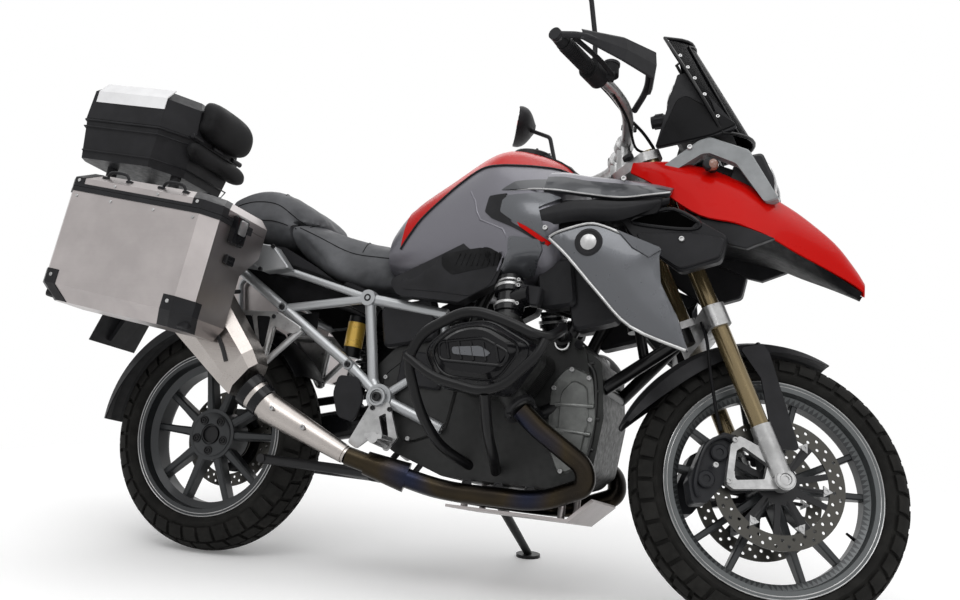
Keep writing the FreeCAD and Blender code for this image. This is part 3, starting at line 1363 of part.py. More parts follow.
def parked(shape, body):
    """The shape steered and leant as the machine parks, with the rear wheel's foot at the origin."""
    if body in ("steering", "front_wheel"):
        shape = turned(shape, STEER_ORIGIN, STEER_UP, STEERED_LEFT)
    else:
        shape = shape.copy()
    shape.Placement = PARKED.multiply(shape.Placement)
    return shape


PARKED = FreeCAD.Placement(V(0, 0, REAR_HEIGHT), FreeCAD.Rotation(FLOOR_UP, V(0, 0, 1)))


def assembly():
    """All nodes parked, and the shift that puts the middle of the box's underside at the origin."""
    placed = {}
    for body, nodes in build().items():
        for name, shape in trimmed(nodes).items():
            placed[name] = parked(shape, body)
    box = FreeCAD.BoundBox()
    for shape in placed.values():
        box.add(shape.optimalBoundingBox(False, False))
    return placed, V(-box.Center.x, -box.Center.y, -box.ZMin)


if __name__ == "__main__":
    os.makedirs("parts", exist_ok=True)
    shapes, shift = assembly()
    for node, shape in shapes.items():
        shape.translate(shift)
        shape.exportStep("parts/" + node + ".step")
    print(len(shapes), "nodes, shift", shift)
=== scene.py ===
import math
import json

import bmesh
import bpy
import numpy as np
from mathutils import Matrix, Vector
from mathutils.bvhtree import BVHTree


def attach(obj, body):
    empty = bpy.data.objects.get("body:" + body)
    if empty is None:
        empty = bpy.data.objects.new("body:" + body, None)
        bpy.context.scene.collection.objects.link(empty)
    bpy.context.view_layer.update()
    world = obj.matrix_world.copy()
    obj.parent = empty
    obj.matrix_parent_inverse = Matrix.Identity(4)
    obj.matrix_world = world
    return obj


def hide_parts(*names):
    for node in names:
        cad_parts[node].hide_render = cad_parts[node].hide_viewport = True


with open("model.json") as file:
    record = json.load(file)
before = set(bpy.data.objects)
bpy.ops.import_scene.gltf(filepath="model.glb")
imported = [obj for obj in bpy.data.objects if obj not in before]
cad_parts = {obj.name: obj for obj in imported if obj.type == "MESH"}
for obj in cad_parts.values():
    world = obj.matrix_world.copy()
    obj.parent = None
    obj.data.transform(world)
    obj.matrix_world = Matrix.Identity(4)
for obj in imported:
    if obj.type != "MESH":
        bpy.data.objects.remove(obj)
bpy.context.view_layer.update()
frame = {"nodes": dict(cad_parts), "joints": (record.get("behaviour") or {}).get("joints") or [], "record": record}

# The machine's own axes, read from its joints: X forward, Y left, Z up, from the rear axle, in millimetres.
HEAD_ANGLE = math.radians(64.5)
JOINTS = {joint["name"]: joint for joint in frame["joints"]}
ACROSS = Vector(JOINTS["rear_wheel_spin"]["axis"])
STEER_UP = Vector(JOINTS["steering_turn"]["axis"])
STEER_AHEAD = ACROSS.cross(STEER_UP)
FORWARD = STEER_AHEAD * math.sin(HEAD_ANGLE) - STEER_UP * math.cos(HEAD_ANGLE)
UPWARD = STEER_AHEAD * math.cos(HEAD_ANGLE) + STEER_UP * math.sin(HEAD_ANGLE)
REAR_AXLE = Vector(JOINTS["rear_wheel_spin"]["pos_m"])
STEER_PLACE = Vector(JOINTS["steering_turn"]["pos_m"])
FRONT_AXIS = Vector(JOINTS["front_wheel_spin"]["axis"])
STEERED = math.atan2(STEER_UP.dot(ACROSS.cross(FRONT_AXIS)), ACROSS.dot(FRONT_AXIS))
MM = 0.001

AXES = Matrix((FORWARD, ACROSS, UPWARD)).transposed().to_4x4()
CHASSIS = Matrix.Translation(REAR_AXLE) @ AXES @ Matrix.Scale(MM, 4)
TO_STEERING = Matrix.Translation(STEER_PLACE)
TURNED = TO_STEERING @ Matrix.Rotation(STEERED, 4, STEER_UP) @ TO_STEERING.inverted()
STEERING = TURNED @ CHASSIS
PLACES = {"steering": STEERING, "front_wheel": STEERING}


def place_of(body):
    """Matrix from the upright machine's millimetres to the frame, for what rides on a body."""
    return PLACES.get(body, CHASSIS)


# Camera: its place and aim in the frame, in metres
CAMERA_PLACE = Vector((1.1643, -2.8883, 0.7574))
CAMERA_AIM = Vector((-0.0622, -0.1507, 0.7228))
CAMERA_ROLL = math.radians(1.903)
CAMERA_LENS = 43.1
CAMERA_SHIFT = 0.0833
CAMERA_SENSOR = 36.0


def add_object(name, data):
    made = bpy.data.objects.new(name, data)
    bpy.context.scene.collection.objects.link(made)
    return made


def make_camera():
    data = bpy.data.cameras.new("camera")
    camera = add_object("camera", data)
    look = (CAMERA_AIM - CAMERA_PLACE).to_track_quat("-Z", "Y").to_matrix().to_4x4()
    camera.matrix_world = Matrix.Translation(CAMERA_PLACE) @ look @ Matrix.Rotation(CAMERA_ROLL, 4, "Z")
    data.lens = CAMERA_LENS
    data.sensor_width = CAMERA_SENSOR
    data.shift_x = CAMERA_SHIFT
    bpy.context.scene.camera = camera


make_camera()


# Finishes
FINISHES = {}


class Finish:
    """One material, with short calls that add nodes in the part's own coordinates."""

    def __init__(self, name, colour, roughness=0.5, metallic=0.0, **sockets):
        self.material = bpy.data.materials.new(name)
        self.material.use_nodes = True
        self.tree = self.material.node_tree
        self.shader = self.tree.nodes["Principled BSDF"]
        self.shader.inputs["Base Color"].default_value = (*colour, 1.0)
        self.shader.inputs["Roughness"].default_value = roughness
        self.shader.inputs["Metallic"].default_value = metallic
        for socket, value in sockets.items():
            self.shader.inputs[socket.replace("_", " ")].default_value = value
        self.coords = self.node("ShaderNodeTexCoord").outputs["Object"]
        FINISHES[name] = self

    def node(self, kind, **values):
        made = self.tree.nodes.new(kind)
        for key, value in values.items():
            if hasattr(made, key):
                setattr(made, key, value)
            else:
                made.inputs[key.replace("_", " ")].default_value = value
        return made

    def link(self, source, target):
        self.tree.links.new(source, target)

    def stretched(self, scale):
        """Coordinates stretched by a factor on each axis."""
        made = self.node("ShaderNodeMapping")
        made.inputs["Scale"].default_value = scale
        self.link(self.coords, made.inputs["Vector"])
        return made.outputs["Vector"]

    def noise(self, scale, detail=3.0, rough=0.5, source=None):
        made = self.node("ShaderNodeTexNoise", Scale=scale, Detail=detail, Roughness=rough)
        self.link(source or self.coords, made.inputs["Vector"])
        return made.outputs["Fac"]

    def cells(self, scale):
        made = self.node("ShaderNodeTexVoronoi", Scale=scale)
        self.link(self.coords, made.inputs["Vector"])
        return made.outputs["Distance"]

    def span(self, source, low, high, start=0.0, end=1.0):
        """Source between low and high, spread from start to end."""
        made = self.node("ShaderNodeMapRange", From_Min=low, From_Max=high, To_Min=start, To_Max=end)
        self.link(source, made.inputs["Value"])
        return made.outputs["Result"]

    def mix(self, factor, first, second):
        """Colour between two, each a colour or a socket."""
        made = self.node("ShaderNodeMix", data_type="RGBA")
        self.link(factor, made.inputs["Factor"])
        self.put(first, made.inputs["A"])
        self.put(second, made.inputs["B"])
        return made.outputs["Result"]

    def put(self, value, socket):
        if hasattr(value, "links"):
            self.link(value, socket)
        else:
            socket.default_value = (*value, 1.0)

    def paint(self, value):
        self.put(value, self.shader.inputs["Base Color"])
        return self

    def rough(self, value):
        self.put(value, self.shader.inputs["Roughness"])
        return self

    def bump(self, height, strength, distance):
        made = self.node("ShaderNodeBump", Strength=strength, Distance=distance)
        self.link(height, made.inputs["Height"])
        self.link(made.outputs["Normal"], self.shader.inputs["Normal"])
        return self


SPECULAR = "Specular_IOR_Level"


def lighter(colour, factor):
    return tuple(min(channel * factor, 1.0) for channel in colour)


def plastic(name, colour, roughness, grain=900.0, depth=0.25, gloss=0.12):
    """Moulded plastic: fine grain, with dust that lightens it in patches."""
    made = Finish(name, colour, roughness, **{SPECULAR: gloss})
    patches = made.span(made.noise(14.0, 5.0, 0.6), 0.35, 0.75)
    made.paint(made.mix(patches, lighter(colour, 0.85), lighter(colour, 1.35)))
    made.rough(made.span(made.noise(60.0, 3.0), 0.3, 0.7, roughness - 0.06, roughness + 0.08))
    return made.bump(made.noise(grain, 2.0), depth, 0.0004)


def car_paint(name, colour, flake, roughness=0.3, coat=0.35, gloss=0.5):
    """Painted panel with metal flakes, if any, under a clear coat."""
    coating = {"Coat_Weight": coat, "Coat_Roughness": 0.06, SPECULAR: gloss}
    made = Finish(name, colour, roughness, 0.75 * flake, **coating)
    flakes = made.span(made.cells(2600.0), 0.1, 0.6)
    tone = made.mix(flakes, lighter(colour, 1.0 + 0.35 * flake), lighter(colour, 1.0 - 0.2 * flake))
    haze = made.span(made.noise(5.0, 3.0), 0.35, 0.7)
    made.paint(made.mix(haze, tone, lighter(colour, 0.93)))
    return made.rough(made.span(made.noise(30.0, 4.0), 0.3, 0.75, roughness, roughness + 0.09))


def cast_metal(name, colour, roughness, metallic=0.85, grain=420.0, depth=0.35):
    made = Finish(name, colour, roughness, metallic)
    stain = made.span(made.noise(18.0, 6.0, 0.65), 0.38, 0.68)
    made.paint(made.mix(stain, lighter(colour, 0.72), lighter(colour, 1.12)))
    made.rough(made.span(made.noise(70.0, 3.0), 0.3, 0.7, roughness - 0.08, roughness + 0.12))
    return made.bump(made.noise(grain, 4.0, 0.6), depth, 0.0005)


def brushed(name, colour, roughness, stretch=(4.0, 600.0, 600.0), metallic=1.0):
    made = Finish(name, colour, roughness, metallic)
    lines = made.noise(1.0, 4.0, 0.6, made.stretched(stretch))
    smudge = made.span(made.noise(9.0, 5.0, 0.6), 0.35, 0.7)
    made.paint(made.mix(smudge, lighter(colour, 0.9), lighter(colour, 1.06)))
    made.rough(made.span(lines, 0.3, 0.7, roughness - 0.06, roughness + 0.1))
    return made.bump(lines, 0.06, 0.0003)


def rubber(name, colour, roughness):
    made = Finish(name, colour, roughness, **{SPECULAR: 0.08})
    dust = made.span(made.noise(26.0, 6.0, 0.65), 0.42, 0.72)
    made.paint(made.mix(dust, colour, lighter(colour, 1.9)))
    made.rough(made.span(dust, 0.0, 1.0, roughness - 0.08, roughness + 0.1))
    return made.bump(made.noise(500.0, 3.0), 0.3, 0.0004)


def heat_tinted(name, colour, roughness, straw, blue):
    """Header steel, with straw and blue bands where it ran hot."""
    made = brushed(name, colour, roughness)
    bands = made.noise(5.0, 1.0, 0.4)
    warm = made.mix(made.span(bands, 0.4, 0.55), colour, straw)
    return made.paint(made.mix(made.span(bands, 0.55, 0.72), warm, blue))


cast_metal("cast_alloy", (0.0095, 0.0098, 0.0096), 0.42, 0.35)
car_paint("black_cover", (0.006, 0.006, 0.007), 0.0, 0.22, 0.15, 0.12)
heat_tinted("header_steel", (0.016, 0.014, 0.013), 0.3, (0.032, 0.025, 0.016), (0.014, 0.018, 0.036))
brushed("silencer_steel", (0.4, 0.37, 0.35), 0.3)
car_paint("silver_frame", (0.36, 0.37, 0.38), 0.8, 0.32)
car_paint("black_frame", (0.004, 0.004, 0.0045), 0.0, 0.3, 0.1, 0.15)
car_paint("dark_steel", (0.009, 0.009, 0.01), 0.1, 0.44, 0.08, 0.25)
plastic("caliper_black", (0.009, 0.0095, 0.0115), 0.38, 500.0, 0.15, 0.2)
cast_metal("silver_alloy", (0.42, 0.42, 0.42), 0.34, 0.85, 600.0, 0.1)
plastic("black_plastic", (0.016, 0.016, 0.0175), 0.42)
car_paint("grey_paint", (0.155, 0.152, 0.173), 0.75, 0.34, 0.2)
car_paint("silver_paint", (0.092, 0.096, 0.105), 0.85, 0.26, 0.4)
car_paint("red_paint", (0.47, 0.003, 0.0015), 0.0, 0.26, 0.1, 0.05)
plastic("seat_vinyl", (0.08, 0.082, 0.087), 0.5, 420.0, 0.5)
plastic("lamp_glass", (0.008, 0.008, 0.009), 0.1, gloss=0.5)
plastic("arch_grey", (0.2, 0.21, 0.216), 0.4, gloss=0.35)
Finish("smoked_glass", (0.003, 0.003, 0.004), 0.12, **{SPECULAR: 0.03})
brushed("sheet_aluminium", (0.4, 0.37, 0.365), 0.34)
rubber("grip_rubber", (0.009, 0.009, 0.0095), 0.6)
car_paint("gold_tube", (0.185, 0.14, 0.07), 1.0, 0.2, 0.3)
rubber("hose_rubber", (0.005, 0.005, 0.0055), 0.5)
car_paint("wheel_paint", (0.026, 0.028, 0.03), 0.6, 0.36, 0.1)
rubber("tyre", (0.0115, 0.0112, 0.0105), 0.8)
brushed("disc_steel", (0.06, 0.058, 0.053), 0.34, (500.0, 500.0, 500.0))
brushed("chrome", (0.6, 0.6, 0.6), 0.12)
cast_metal("cast_grey", (0.15, 0.155, 0.15), 0.36, 0.75)
# Painted shade: a darker copy of the grey cast metal, for the crankcase's front faces.
cast_metal("cast_painted_shade", (0.022, 0.023, 0.022), 0.45, 0.6)
car_paint("rim_grey", (0.08, 0.086, 0.088), 0.6, 0.34, 0.1)
car_paint("charcoal", (0.045, 0.047, 0.052), 0.4, 0.28, 0.4, 0.4)
brushed("strip_silver", (0.78, 0.78, 0.79), 0.4, metallic=0.35)
car_paint("gold_body", (0.6, 0.38, 0.06), 0.6, 0.25)
# Flat black without gloss: painted shade for the inside of openings.
plastic("flat_black_painted_shade", (0.0015, 0.0015, 0.0015), 0.9, gloss=0.0)
Finish("mirror", (0.9, 0.9, 0.9), 0.02, 1.0)
Finish("lamp_lens", (0.2, 0.09, 0.06), 0.15, 0.0, Coat_Weight=0.6)
Finish("red_lens", (0.35, 0.005, 0.004), 0.12, 0.0, Coat_Weight=0.6)
Finish("clear_lens", (0.62, 0.64, 0.66), 0.05, 0.0, Transmission_Weight=0.7, Coat_Weight=0.5)


def finish_nodes():
    """Gives every carried-over node the finish of its slot."""
    slots = {part["node"]: part["material_slot"] for part in frame["record"]["subparts"]}
    for name, shape in frame["nodes"].items():
        shape.data.materials.clear()
        shape.data.materials.append(FINISHES[slots[name]].material)


finish_nodes()


# Shapes, drawn in the upright machine's millimetres
RIGHT = Vector((0, -1, 0))
VIEWS = {"side": RIGHT, "top": Vector((0, 0, 1))}
SMALLEST_RADIUS = 0.01
CORNER_SHARE = 0.45


def turns(count, shift=0.0):
    """Angles of even steps round a circle."""
    return [2 * math.pi * (step + shift) / count for step in range(count)]


def round_axle(centre, turn, radius, y=0.0):
    """Point at an angle from straight up and a radius round an axle."""
    return centre + Vector((radius * math.sin(turn), y, radius * math.cos(turn)))


def catmull(points, steps, closed=False):
    """Smooth line through points."""
    points = [Vector(point) for point in points]
    count = len(points)
    line = []
    for index in range(count if closed else count - 1):
        near = [index + k for k in (-1, 0, 1, 2)]
        a, b, c, d = (points[k % count if closed else min(max(k, 0), count - 1)] for k in near)
        for step in range(steps):
            t = step / steps
            line.append(0.5 * (2 * b + (c - a) * t + (2 * a - 5 * b + 4 * c - d) * t * t
                               + (3 * b - a - 3 * c + d) * t ** 3))
    return line if closed else line + [points[-1]]


def rounded(outline, radius, steps=4):
    """Closed outline with its corners rounded."""
    made = []
    count = len(outline)
    for index in range(count):
        before, corner, after = (Vector(outline[(index + k) % count]) for k in (-1, 0, 1))
        reach = min(radius, *(CORNER_SHARE * (other - corner).length for other in (before, after)))
        start = corner + (before - corner).normalized() * reach
        end = corner + (after - corner).normalized() * reach
        for step in range(steps + 1):
            t = step / steps
            made.append((1 - t) ** 2 * start + 2 * t * (1 - t) * corner + t * t * end)
    return made


def across(axis):
    """Two directions square to an axis."""
    axis = Vector(axis).normalized()
    first = axis.cross(Vector((0, 0, 1)) if abs(axis.z) < 0.8 else Vector((1, 0, 0))).normalized()
    return first, axis.cross(first)


def circle(centre, side, other, radius, sides):
    return [centre + (side * math.cos(turn) + other * math.sin(turn)) * radius for turn in turns(sides)]


def bridge(mesh, rings, closed=False):
    """Quads between rings of points, with end caps unless the rings close on themselves."""
    made = [[mesh.verts.new(point) for point in ring] for ring in rings]
    for first, second in zip(made, made[1:] + (made[:1] if closed else [])):
        for index in range(len(first)):
            after = (index + 1) % len(first)
            mesh.faces.new((first[index], first[after], second[after], second[index]))
    if not closed:
        mesh.faces.new(made[0][::-1])
        mesh.faces.new(made[-1])


def sheet(mesh, rows, first_column=lambda row: 0):
    """Quads between rows of points, each row from its first column on."""
    grid = [[mesh.verts.new(point) for point in row] for row in rows]
    for row, following in zip(grid, grid[1:]):
        for index in range(first_column(row), len(row) - 1):
            mesh.faces.new((row[index], row[index + 1], following[index + 1], following[index]))


def thicken(mesh, thickness):
    bmesh.ops.solidify(mesh, geom=mesh.faces[:], thickness=thickness)


def face_outwards(mesh):
    bmesh.ops.recalc_face_normals(mesh, faces=mesh.faces[:])


def tube(mesh, points, radius, sides=14, steps=1, closed=False):
    """Round bar along points, smoothed where there are steps between them."""
    line = catmull(points, steps, closed) if steps > 1 else [Vector(point) for point in points]
    count = len(line)
    side = None
    rings = []
    for index, point in enumerate(line):
        ahead = line[(index + 1) % count] if closed else line[min(index + 1, count - 1)]
        behind = line[index - 1] if closed else line[max(index - 1, 0)]
        along = (ahead - behind).normalized()
        side = across(along)[0] if side is None else (side - along * side.dot(along)).normalized()
        rings.append(circle(point, side, along.cross(side), radius, sides))
    bridge(mesh, rings, closed)


def loop(mesh, points, radius, sides=8, steps=1):
    tube(mesh, points, radius, sides, steps, closed=True)


def lathe(mesh, centre, axis, profile, sides=48, hollow=False):
    """Turned shape: profile is a list of distances along the axis and radii."""
    centre, axis = Vector(centre), Vector(axis).normalized()
    side, other = across(axis)
    bridge(mesh, [circle(centre + axis * along, side, other, max(radius, SMALLEST_RADIUS), sides)
                  for along, radius in profile], hollow)


def rod(mesh, start, end, radius, sides=24, edge=0.0, far=None):
    """Straight bar, with eased ends or a far end of another radius."""
    start, end = Vector(start), Vector(end)
    length = (end - start).length
    far = radius if far is None else far
    profile = [(0, radius), (length, far)]
    if edge:
        profile = [(0, radius - edge), (edge, radius), (length - edge, far), (length, far - edge)]
    lathe(mesh, start, end - start, profile, sides)


def prism(mesh, outline, low, high, edge=0.0, ease=0.0):
    """Plate with an outline in side view, between two distances across the machine."""
    if ease:
        outline = rounded(outline, ease)
    outline = [Vector(point) for point in outline]
    centre = sum(outline, Vector((0, 0))) / len(outline)

    def ring(y, inset):
        points = [point + (centre - point).normalized() * inset for point in outline]
        return [(point.x, y, point.y) for point in points]
    step = edge if high > low else -edge
    if edge:
        bridge(mesh, [ring(low, edge), ring(low + step, 0), ring(high - step, 0), ring(high, edge)])
    else:
        bridge(mesh, [ring(low, 0), ring(high, 0)])


def slab(mesh, centre, size, turn=0.0, edge=2.0):
    """Box with eased edges, turned about the line across the machine."""
    x, y, z = (value / 2 for value in size)
    start = len(mesh.verts)
    prism(mesh, rounded([(-x, -z), (x, -z), (x, z), (-x, z)], edge * 2, 3), -y, y, edge)
    mesh.verts.ensure_lookup_table()
    moved(mesh.verts[start:], Matrix.Translation(centre) @ Matrix.Rotation(math.radians(turn), 4, "Y"))


def moved(verts, place):
    for vertex in verts:
        vertex.co = place @ vertex.co


def bolt(mesh, place, axis, radius, height=None, socket=True):
    """Screw head, with a socket in it unless it is a rivet."""
    height = radius * 0.7 if height is None else height
    profile = [(-height * 0.6, radius), (height * 0.75, radius), (height, radius * 0.86)]
    if socket:
        profile += [(height, radius * 0.5), (height * 0.35, radius * 0.46)]
    lathe(mesh, place, axis, profile, 20)


def rivet(mesh, place, axis, radius, height):
    bolt(mesh, place, axis, radius, height, socket=False)


def mirror_left(mesh):
    """Adds the left-hand copy of everything in the mesh."""
    copy = bmesh.ops.duplicate(mesh, geom=mesh.verts[:] + mesh.edges[:] + mesh.faces[:])["geom"]
    for vertex in (item for item in copy if isinstance(item, bmesh.types.BMVert)):
        vertex.co.y = -vertex.co.y
    bmesh.ops.reverse_faces(mesh, faces=[item for item in copy if isinstance(item, bmesh.types.BMFace)])


def piece(name, finish, mesh, sharp=38.0, body="chassis", replaces=(), slot=None):
    """Object from a mesh in the machine's millimetres, riding on a body."""
    face_outwards(mesh)
    data = bpy.data.meshes.new(name)
    mesh.to_mesh(data)
    mesh.free()
    data.transform(place_of(body))
    data.shade_smooth()
    data.set_sharp_from_angle(angle=math.radians(sharp))
    data.materials.append(FINISHES[finish].material)
    shape = add_object(name, data)
    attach(shape, body)
    if replaces:
        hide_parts(*replaces)
    return shape


def form(name, finish, *strokes, both=True, place=None, **more):
    """Piece drawn by strokes, each a drawing function and what it takes after the mesh."""
    mesh = bmesh.new()
    for draw, *given in strokes:
        draw(mesh, *given)
    if place is not None:
        moved(mesh.verts, place)
    if both:
        mirror_left(mesh)
    return piece(name, finish, mesh, **more)


def shade_where(node, body, finish, inside):
    """Gives a second finish to the faces of a node whose middles pass a test."""
    data = frame["nodes"][node].data
    data.materials.append(FINISHES[finish].material)
    back = place_of(body).inverted()
    for polygon in data.polygons:
        if inside(back @ polygon.center):
            polygon.material_index = 1


def surface(*names):
    """What lies under a draped plate: chassis nodes in the machine's millimetres."""
    back = CHASSIS.inverted()
    verts, faces = [], []
    for name in names:
        data = frame["nodes"][name].data
        start = len(verts)
        verts += [back @ vertex.co for vertex in data.vertices]
        faces += [[index + start for index in polygon.vertices] for polygon in data.polygons]
    return BVHTree.FromPolygons(verts, faces)


# How far out a ray at a surface starts, and where one that misses looks for the nearest point
REACH = 700.0
NEAR_SIDE, NEAR_TOP = 190.0, 760.0


def landing(tree, a, b, view="side"):
    """Point of a surface seen from the right, or from above; where it is missed, level with its nearest point."""
    if view == "side":
        start, near = Vector((a, -REACH, b)), Vector((a, -NEAR_SIDE, b))
    else:
        start, near = Vector((a, b, REACH * 2)), Vector((a, b, NEAR_TOP))
    place = tree.ray_cast(start, -VIEWS[view])[0]
    if place is None:
        place = tree.find_nearest(near)[0]
        place = Vector((a, place.y, b)) if view == "side" else Vector((a, b, place.z))
    return place


def over(tree, points, lift, view="side"):
    """Points drawn in one view, lifted off the surface under them."""
    return [landing(tree, a, b, view) + VIEWS[view] * lift for a, b in points]


def fitted(mesh, heights, order):
    """Heights of a smooth polynomial surface through the landing points."""
    flat = np.array([(vertex.co.x, vertex.co.z) for vertex in mesh.verts])
    middle, spread = flat.mean(axis=0), flat.std(axis=0) + 1.0
    x, z = ((flat - middle) / spread).T
    terms = np.stack([x ** a * z ** b for a in range(order + 1) for b in range(order + 1 - a)], axis=1)
    wanted = np.array([heights[vertex] for vertex in mesh.verts])
    answer = np.linalg.lstsq(terms, wanted, rcond=None)[0]
    return dict(zip(mesh.verts, (terms @ answer).tolist()))


def flat_plate(outline, cell):
    """Triangles no longer than a cell, inside an outline."""
    mesh = bmesh.new()
    mesh.faces.new([mesh.verts.new((point[0], 0, point[1])) for point in outline])
    bmesh.ops.triangulate(mesh, faces=mesh.faces[:])
    for _ in range(5):
        long = [edge for edge in mesh.edges if edge.calc_length() > cell]
        if not long:
            break
        bmesh.ops.subdivide_edges(mesh, edges=long, cuts=1)
        bmesh.ops.triangulate(mesh, faces=mesh.faces[:])
    return mesh


def draped(outline, tree, lift, depth=3.0, view="side", cell=11.0, calm=3, bulge=0.0, order=0):
    """Mesh of a plate that follows a surface under an outline, evened out by a polynomial or calming passes."""
    mesh = flat_plate(outline, cell)
    out = VIEWS[view]
    heights = {vertex: landing(tree, vertex.co.x, vertex.co.z, view).dot(out) for vertex in mesh.verts}
    if order:
        heights = fitted(mesh, heights, order)
    for _ in range(0 if order else calm):
        heights = {vertex: (heights[vertex] + sum(heights[edge.other_vert(vertex)] for edge in vertex.link_edges))
                   / (1 + len(vertex.link_edges)) for vertex in mesh.verts}
    if bulge:
        rim = [vertex.co.copy() for vertex in mesh.verts if vertex.is_boundary]
        reach = {vertex: min((vertex.co - point).length for point in rim) for vertex in mesh.verts}
        widest = max(reach.values()) or 1.0
        for vertex in mesh.verts:
            heights[vertex] += bulge * math.sin(min(reach[vertex] / widest, 1.0) * math.pi / 2)
    for vertex in mesh.verts:
        x, z = vertex.co.x, vertex.co.z
        height = heights[vertex] + lift
        vertex.co = Vector((x, -height, z)) if view == "side" else Vector((x, z, height))
    walls = bmesh.ops.extrude_edge_only(mesh, edges=[edge for edge in mesh.edges if edge.is_boundary])["geom"]
    for vertex in (item for item in walls if isinstance(item, bmesh.types.BMVert)):
        vertex.co -= out * (depth + lift)
    return mesh


# Tyres
WHEELBASE, FRONT_RADIUS, TRAIL = 1507.0, 328.0, 99.6
FRONT_AXLE = Vector((WHEELBASE, 0.0, 8.0))
REAR_AXLE_MM = Vector((0.0, 0.0, 0.0))
TREAD_DEPTH = 9.0
BLOCK_GAP = 12.0
BLOCK_FLARE = 1.2
TREAD_FADE = 8.0
BEAD_DROP = 14.7
WIDEST_RISE = 2.5
WALL_STEPS, CROWN_STEPS = 10, 24
BLOCK_STEPS = (0.0, 0.0, 0.5, 1.0, 1.0)
# Node, axle, the sizes that tyre_outline takes, blocks in a row, rows as (low side, high side, shift, skew)
TYRES = (
    ("front_tyre", FRONT_AXLE, (FRONT_RADIUS, 56.0, 60.0, 46.0, 256.3, 37.7), 38,
     ((-78, -42, 0.0, 0.12), (-34, -13, 0.5, 0.28), (-9, 9, 0.0, 0.3), (13, 34, 0.35, 0.28), (42, 78, 0.85, -0.12))),
    ("rear_tyre", REAR_AXLE_MM, (320.0, 82.0, 85.0, 68.0, 231.3, 57.7), 36,
     ((-108, -62, 0.0, 0.12), (-54, -32, 0.5, 0.25), (-27, -5, 0.1, 0.3), (0, 22, 0.55, 0.3), (27, 54, 0.0, 0.25),
      (62, 108, 0.5, -0.12))),
)


def arc_through(a, b, c, steps):
    """Points on the circle through three points of a profile, each a (side, radius) pair."""
    a, b, c = Vector(a), Vector(b), Vector(c)
    aa, bb, cc = a.length_squared, b.length_squared, c.length_squared
    d = 2 * (a.x * (b.y - c.y) + b.x * (c.y - a.y) + c.x * (a.y - b.y))
    ux = (aa * (b.y - c.y) + bb * (c.y - a.y) + cc * (a.y - b.y)) / d
    uy = (aa * (c.x - b.x) + bb * (a.x - c.x) + cc * (b.x - a.x)) / d
    start, end = (math.atan2(p.y - uy, p.x - ux) for p in (a, c))
    sweep = (end - start + math.pi) % (2 * math.pi) - math.pi
    radius = (a - Vector((ux, uy))).length
    angles = [start + sweep * t / steps for t in range(steps + 1)]
    return [(ux + radius * math.cos(angle), uy + radius * math.sin(angle)) for angle in angles]


def tyre_outline(radius, half_width, crown, shoulder, flange, rim_half):
    """Outer surface of a tyre from one bead to the other, as (side, radius) pairs."""
    shoulder_radius = radius - crown + math.sqrt(crown ** 2 - shoulder ** 2)
    widest = (flange + shoulder_radius) / 2 + WIDEST_RISE
    wall = arc_through((rim_half, flange), (half_width, widest), (shoulder, shoulder_radius), WALL_STEPS)[:-1]
    tread = arc_through((shoulder, shoulder_radius), (0, radius), (-shoulder, shoulder_radius), CROWN_STEPS)
    return wall + tread + [(-y, r) for y, r in wall[::-1]]


def flared(step):
    """How far a block's foot stands out at one of its steps."""
    return BLOCK_FLARE if step == 4 else -BLOCK_FLARE if step == 0 else 0.0


def add_tyre(node, centre, sizes, pitches, rows):
    """Tyre turned from its profile, with blocks in rows of (low side, high side, shift, skew)."""
    radius, flange, rim_half = sizes[0], sizes[4], sizes[5]
    line = tyre_outline(*sizes)
    middle = sum(r for _, r in line) / len(line)
    lengths = [0.0]
    for (y0, r0), (y1, r1) in zip(line, line[1:]):
        lengths.append(lengths[-1] + math.hypot(y1 - y0, r1 - r0))
    half_length = lengths[-1] / 2
    reach = max(high for _, high, _, _ in rows) + 2.0

    def normal_at(index):
        before, after = line[max(index - 1, 0)], line[min(index + 1, len(line) - 1)]
        way = Vector((after[0] - before[0], after[1] - before[1])).normalized()
        normal = Vector((way.y, -way.x))
        return normal if way.y * line[index][0] - way.x * (line[index][1] - middle) > 0 else -normal

    normals = [normal_at(index) for index in range(len(line))]

    def skin_point(along, depth):
        """Point of the profile at a distance along it from the crown, sunk by a depth."""
        place = min(max(along + half_length, 0.0), lengths[-1])
        index = max(i for i, value in enumerate(lengths[:-1]) if value <= place + 1e-9)
        t = (place - lengths[index]) / (lengths[index + 1] - lengths[index])
        y, r = (line[index][k] * (1 - t) + line[index + 1][k] * t for k in (0, 1))
        out = (normals[index] * (1 - t) + normals[index + 1] * t).normalized()
        return y - out.x * depth, r - out.y * depth

    profile = [(rim_half - 0.4, flange - BEAD_DROP)]
    for length in lengths:
        along = length - half_length
        faded = min(max(0.0, 1 - (abs(along) - reach) / TREAD_FADE), 1.0)
        profile.append(skin_point(along, TREAD_DEPTH * faded))
    profile.append((-rim_half + 0.4, flange - BEAD_DROP))
    mesh = bmesh.new()
    lathe(mesh, centre, (0, 1, 0), profile, 120, hollow=True)
    pitch = 2 * math.pi * radius / pitches
    for low, high, shift, skew in rows:
        for index in range(pitches):
            start = (index + shift) * pitch + BLOCK_GAP / 2
            block = []
            for row, share in enumerate(BLOCK_STEPS):
                along = low + (high - low) * share
                block.append([])
                for column, part in enumerate(BLOCK_STEPS):
                    rim = row in (0, 4) or column in (0, 4)
                    around = start + (pitch - BLOCK_GAP) * part + skew * (along - (low + high) / 2)
                    y, r = skin_point(along + flared(row), TREAD_DEPTH + 1.0 if rim else 0.0)
                    block[-1].append(round_axle(centre, (around + flared(column)) / radius, r, y))
            sheet(mesh, block)
    piece(node + "_tread", "tyre", mesh, 34.0, node.replace("tyre", "wheel"), (node,), slot="tyre")


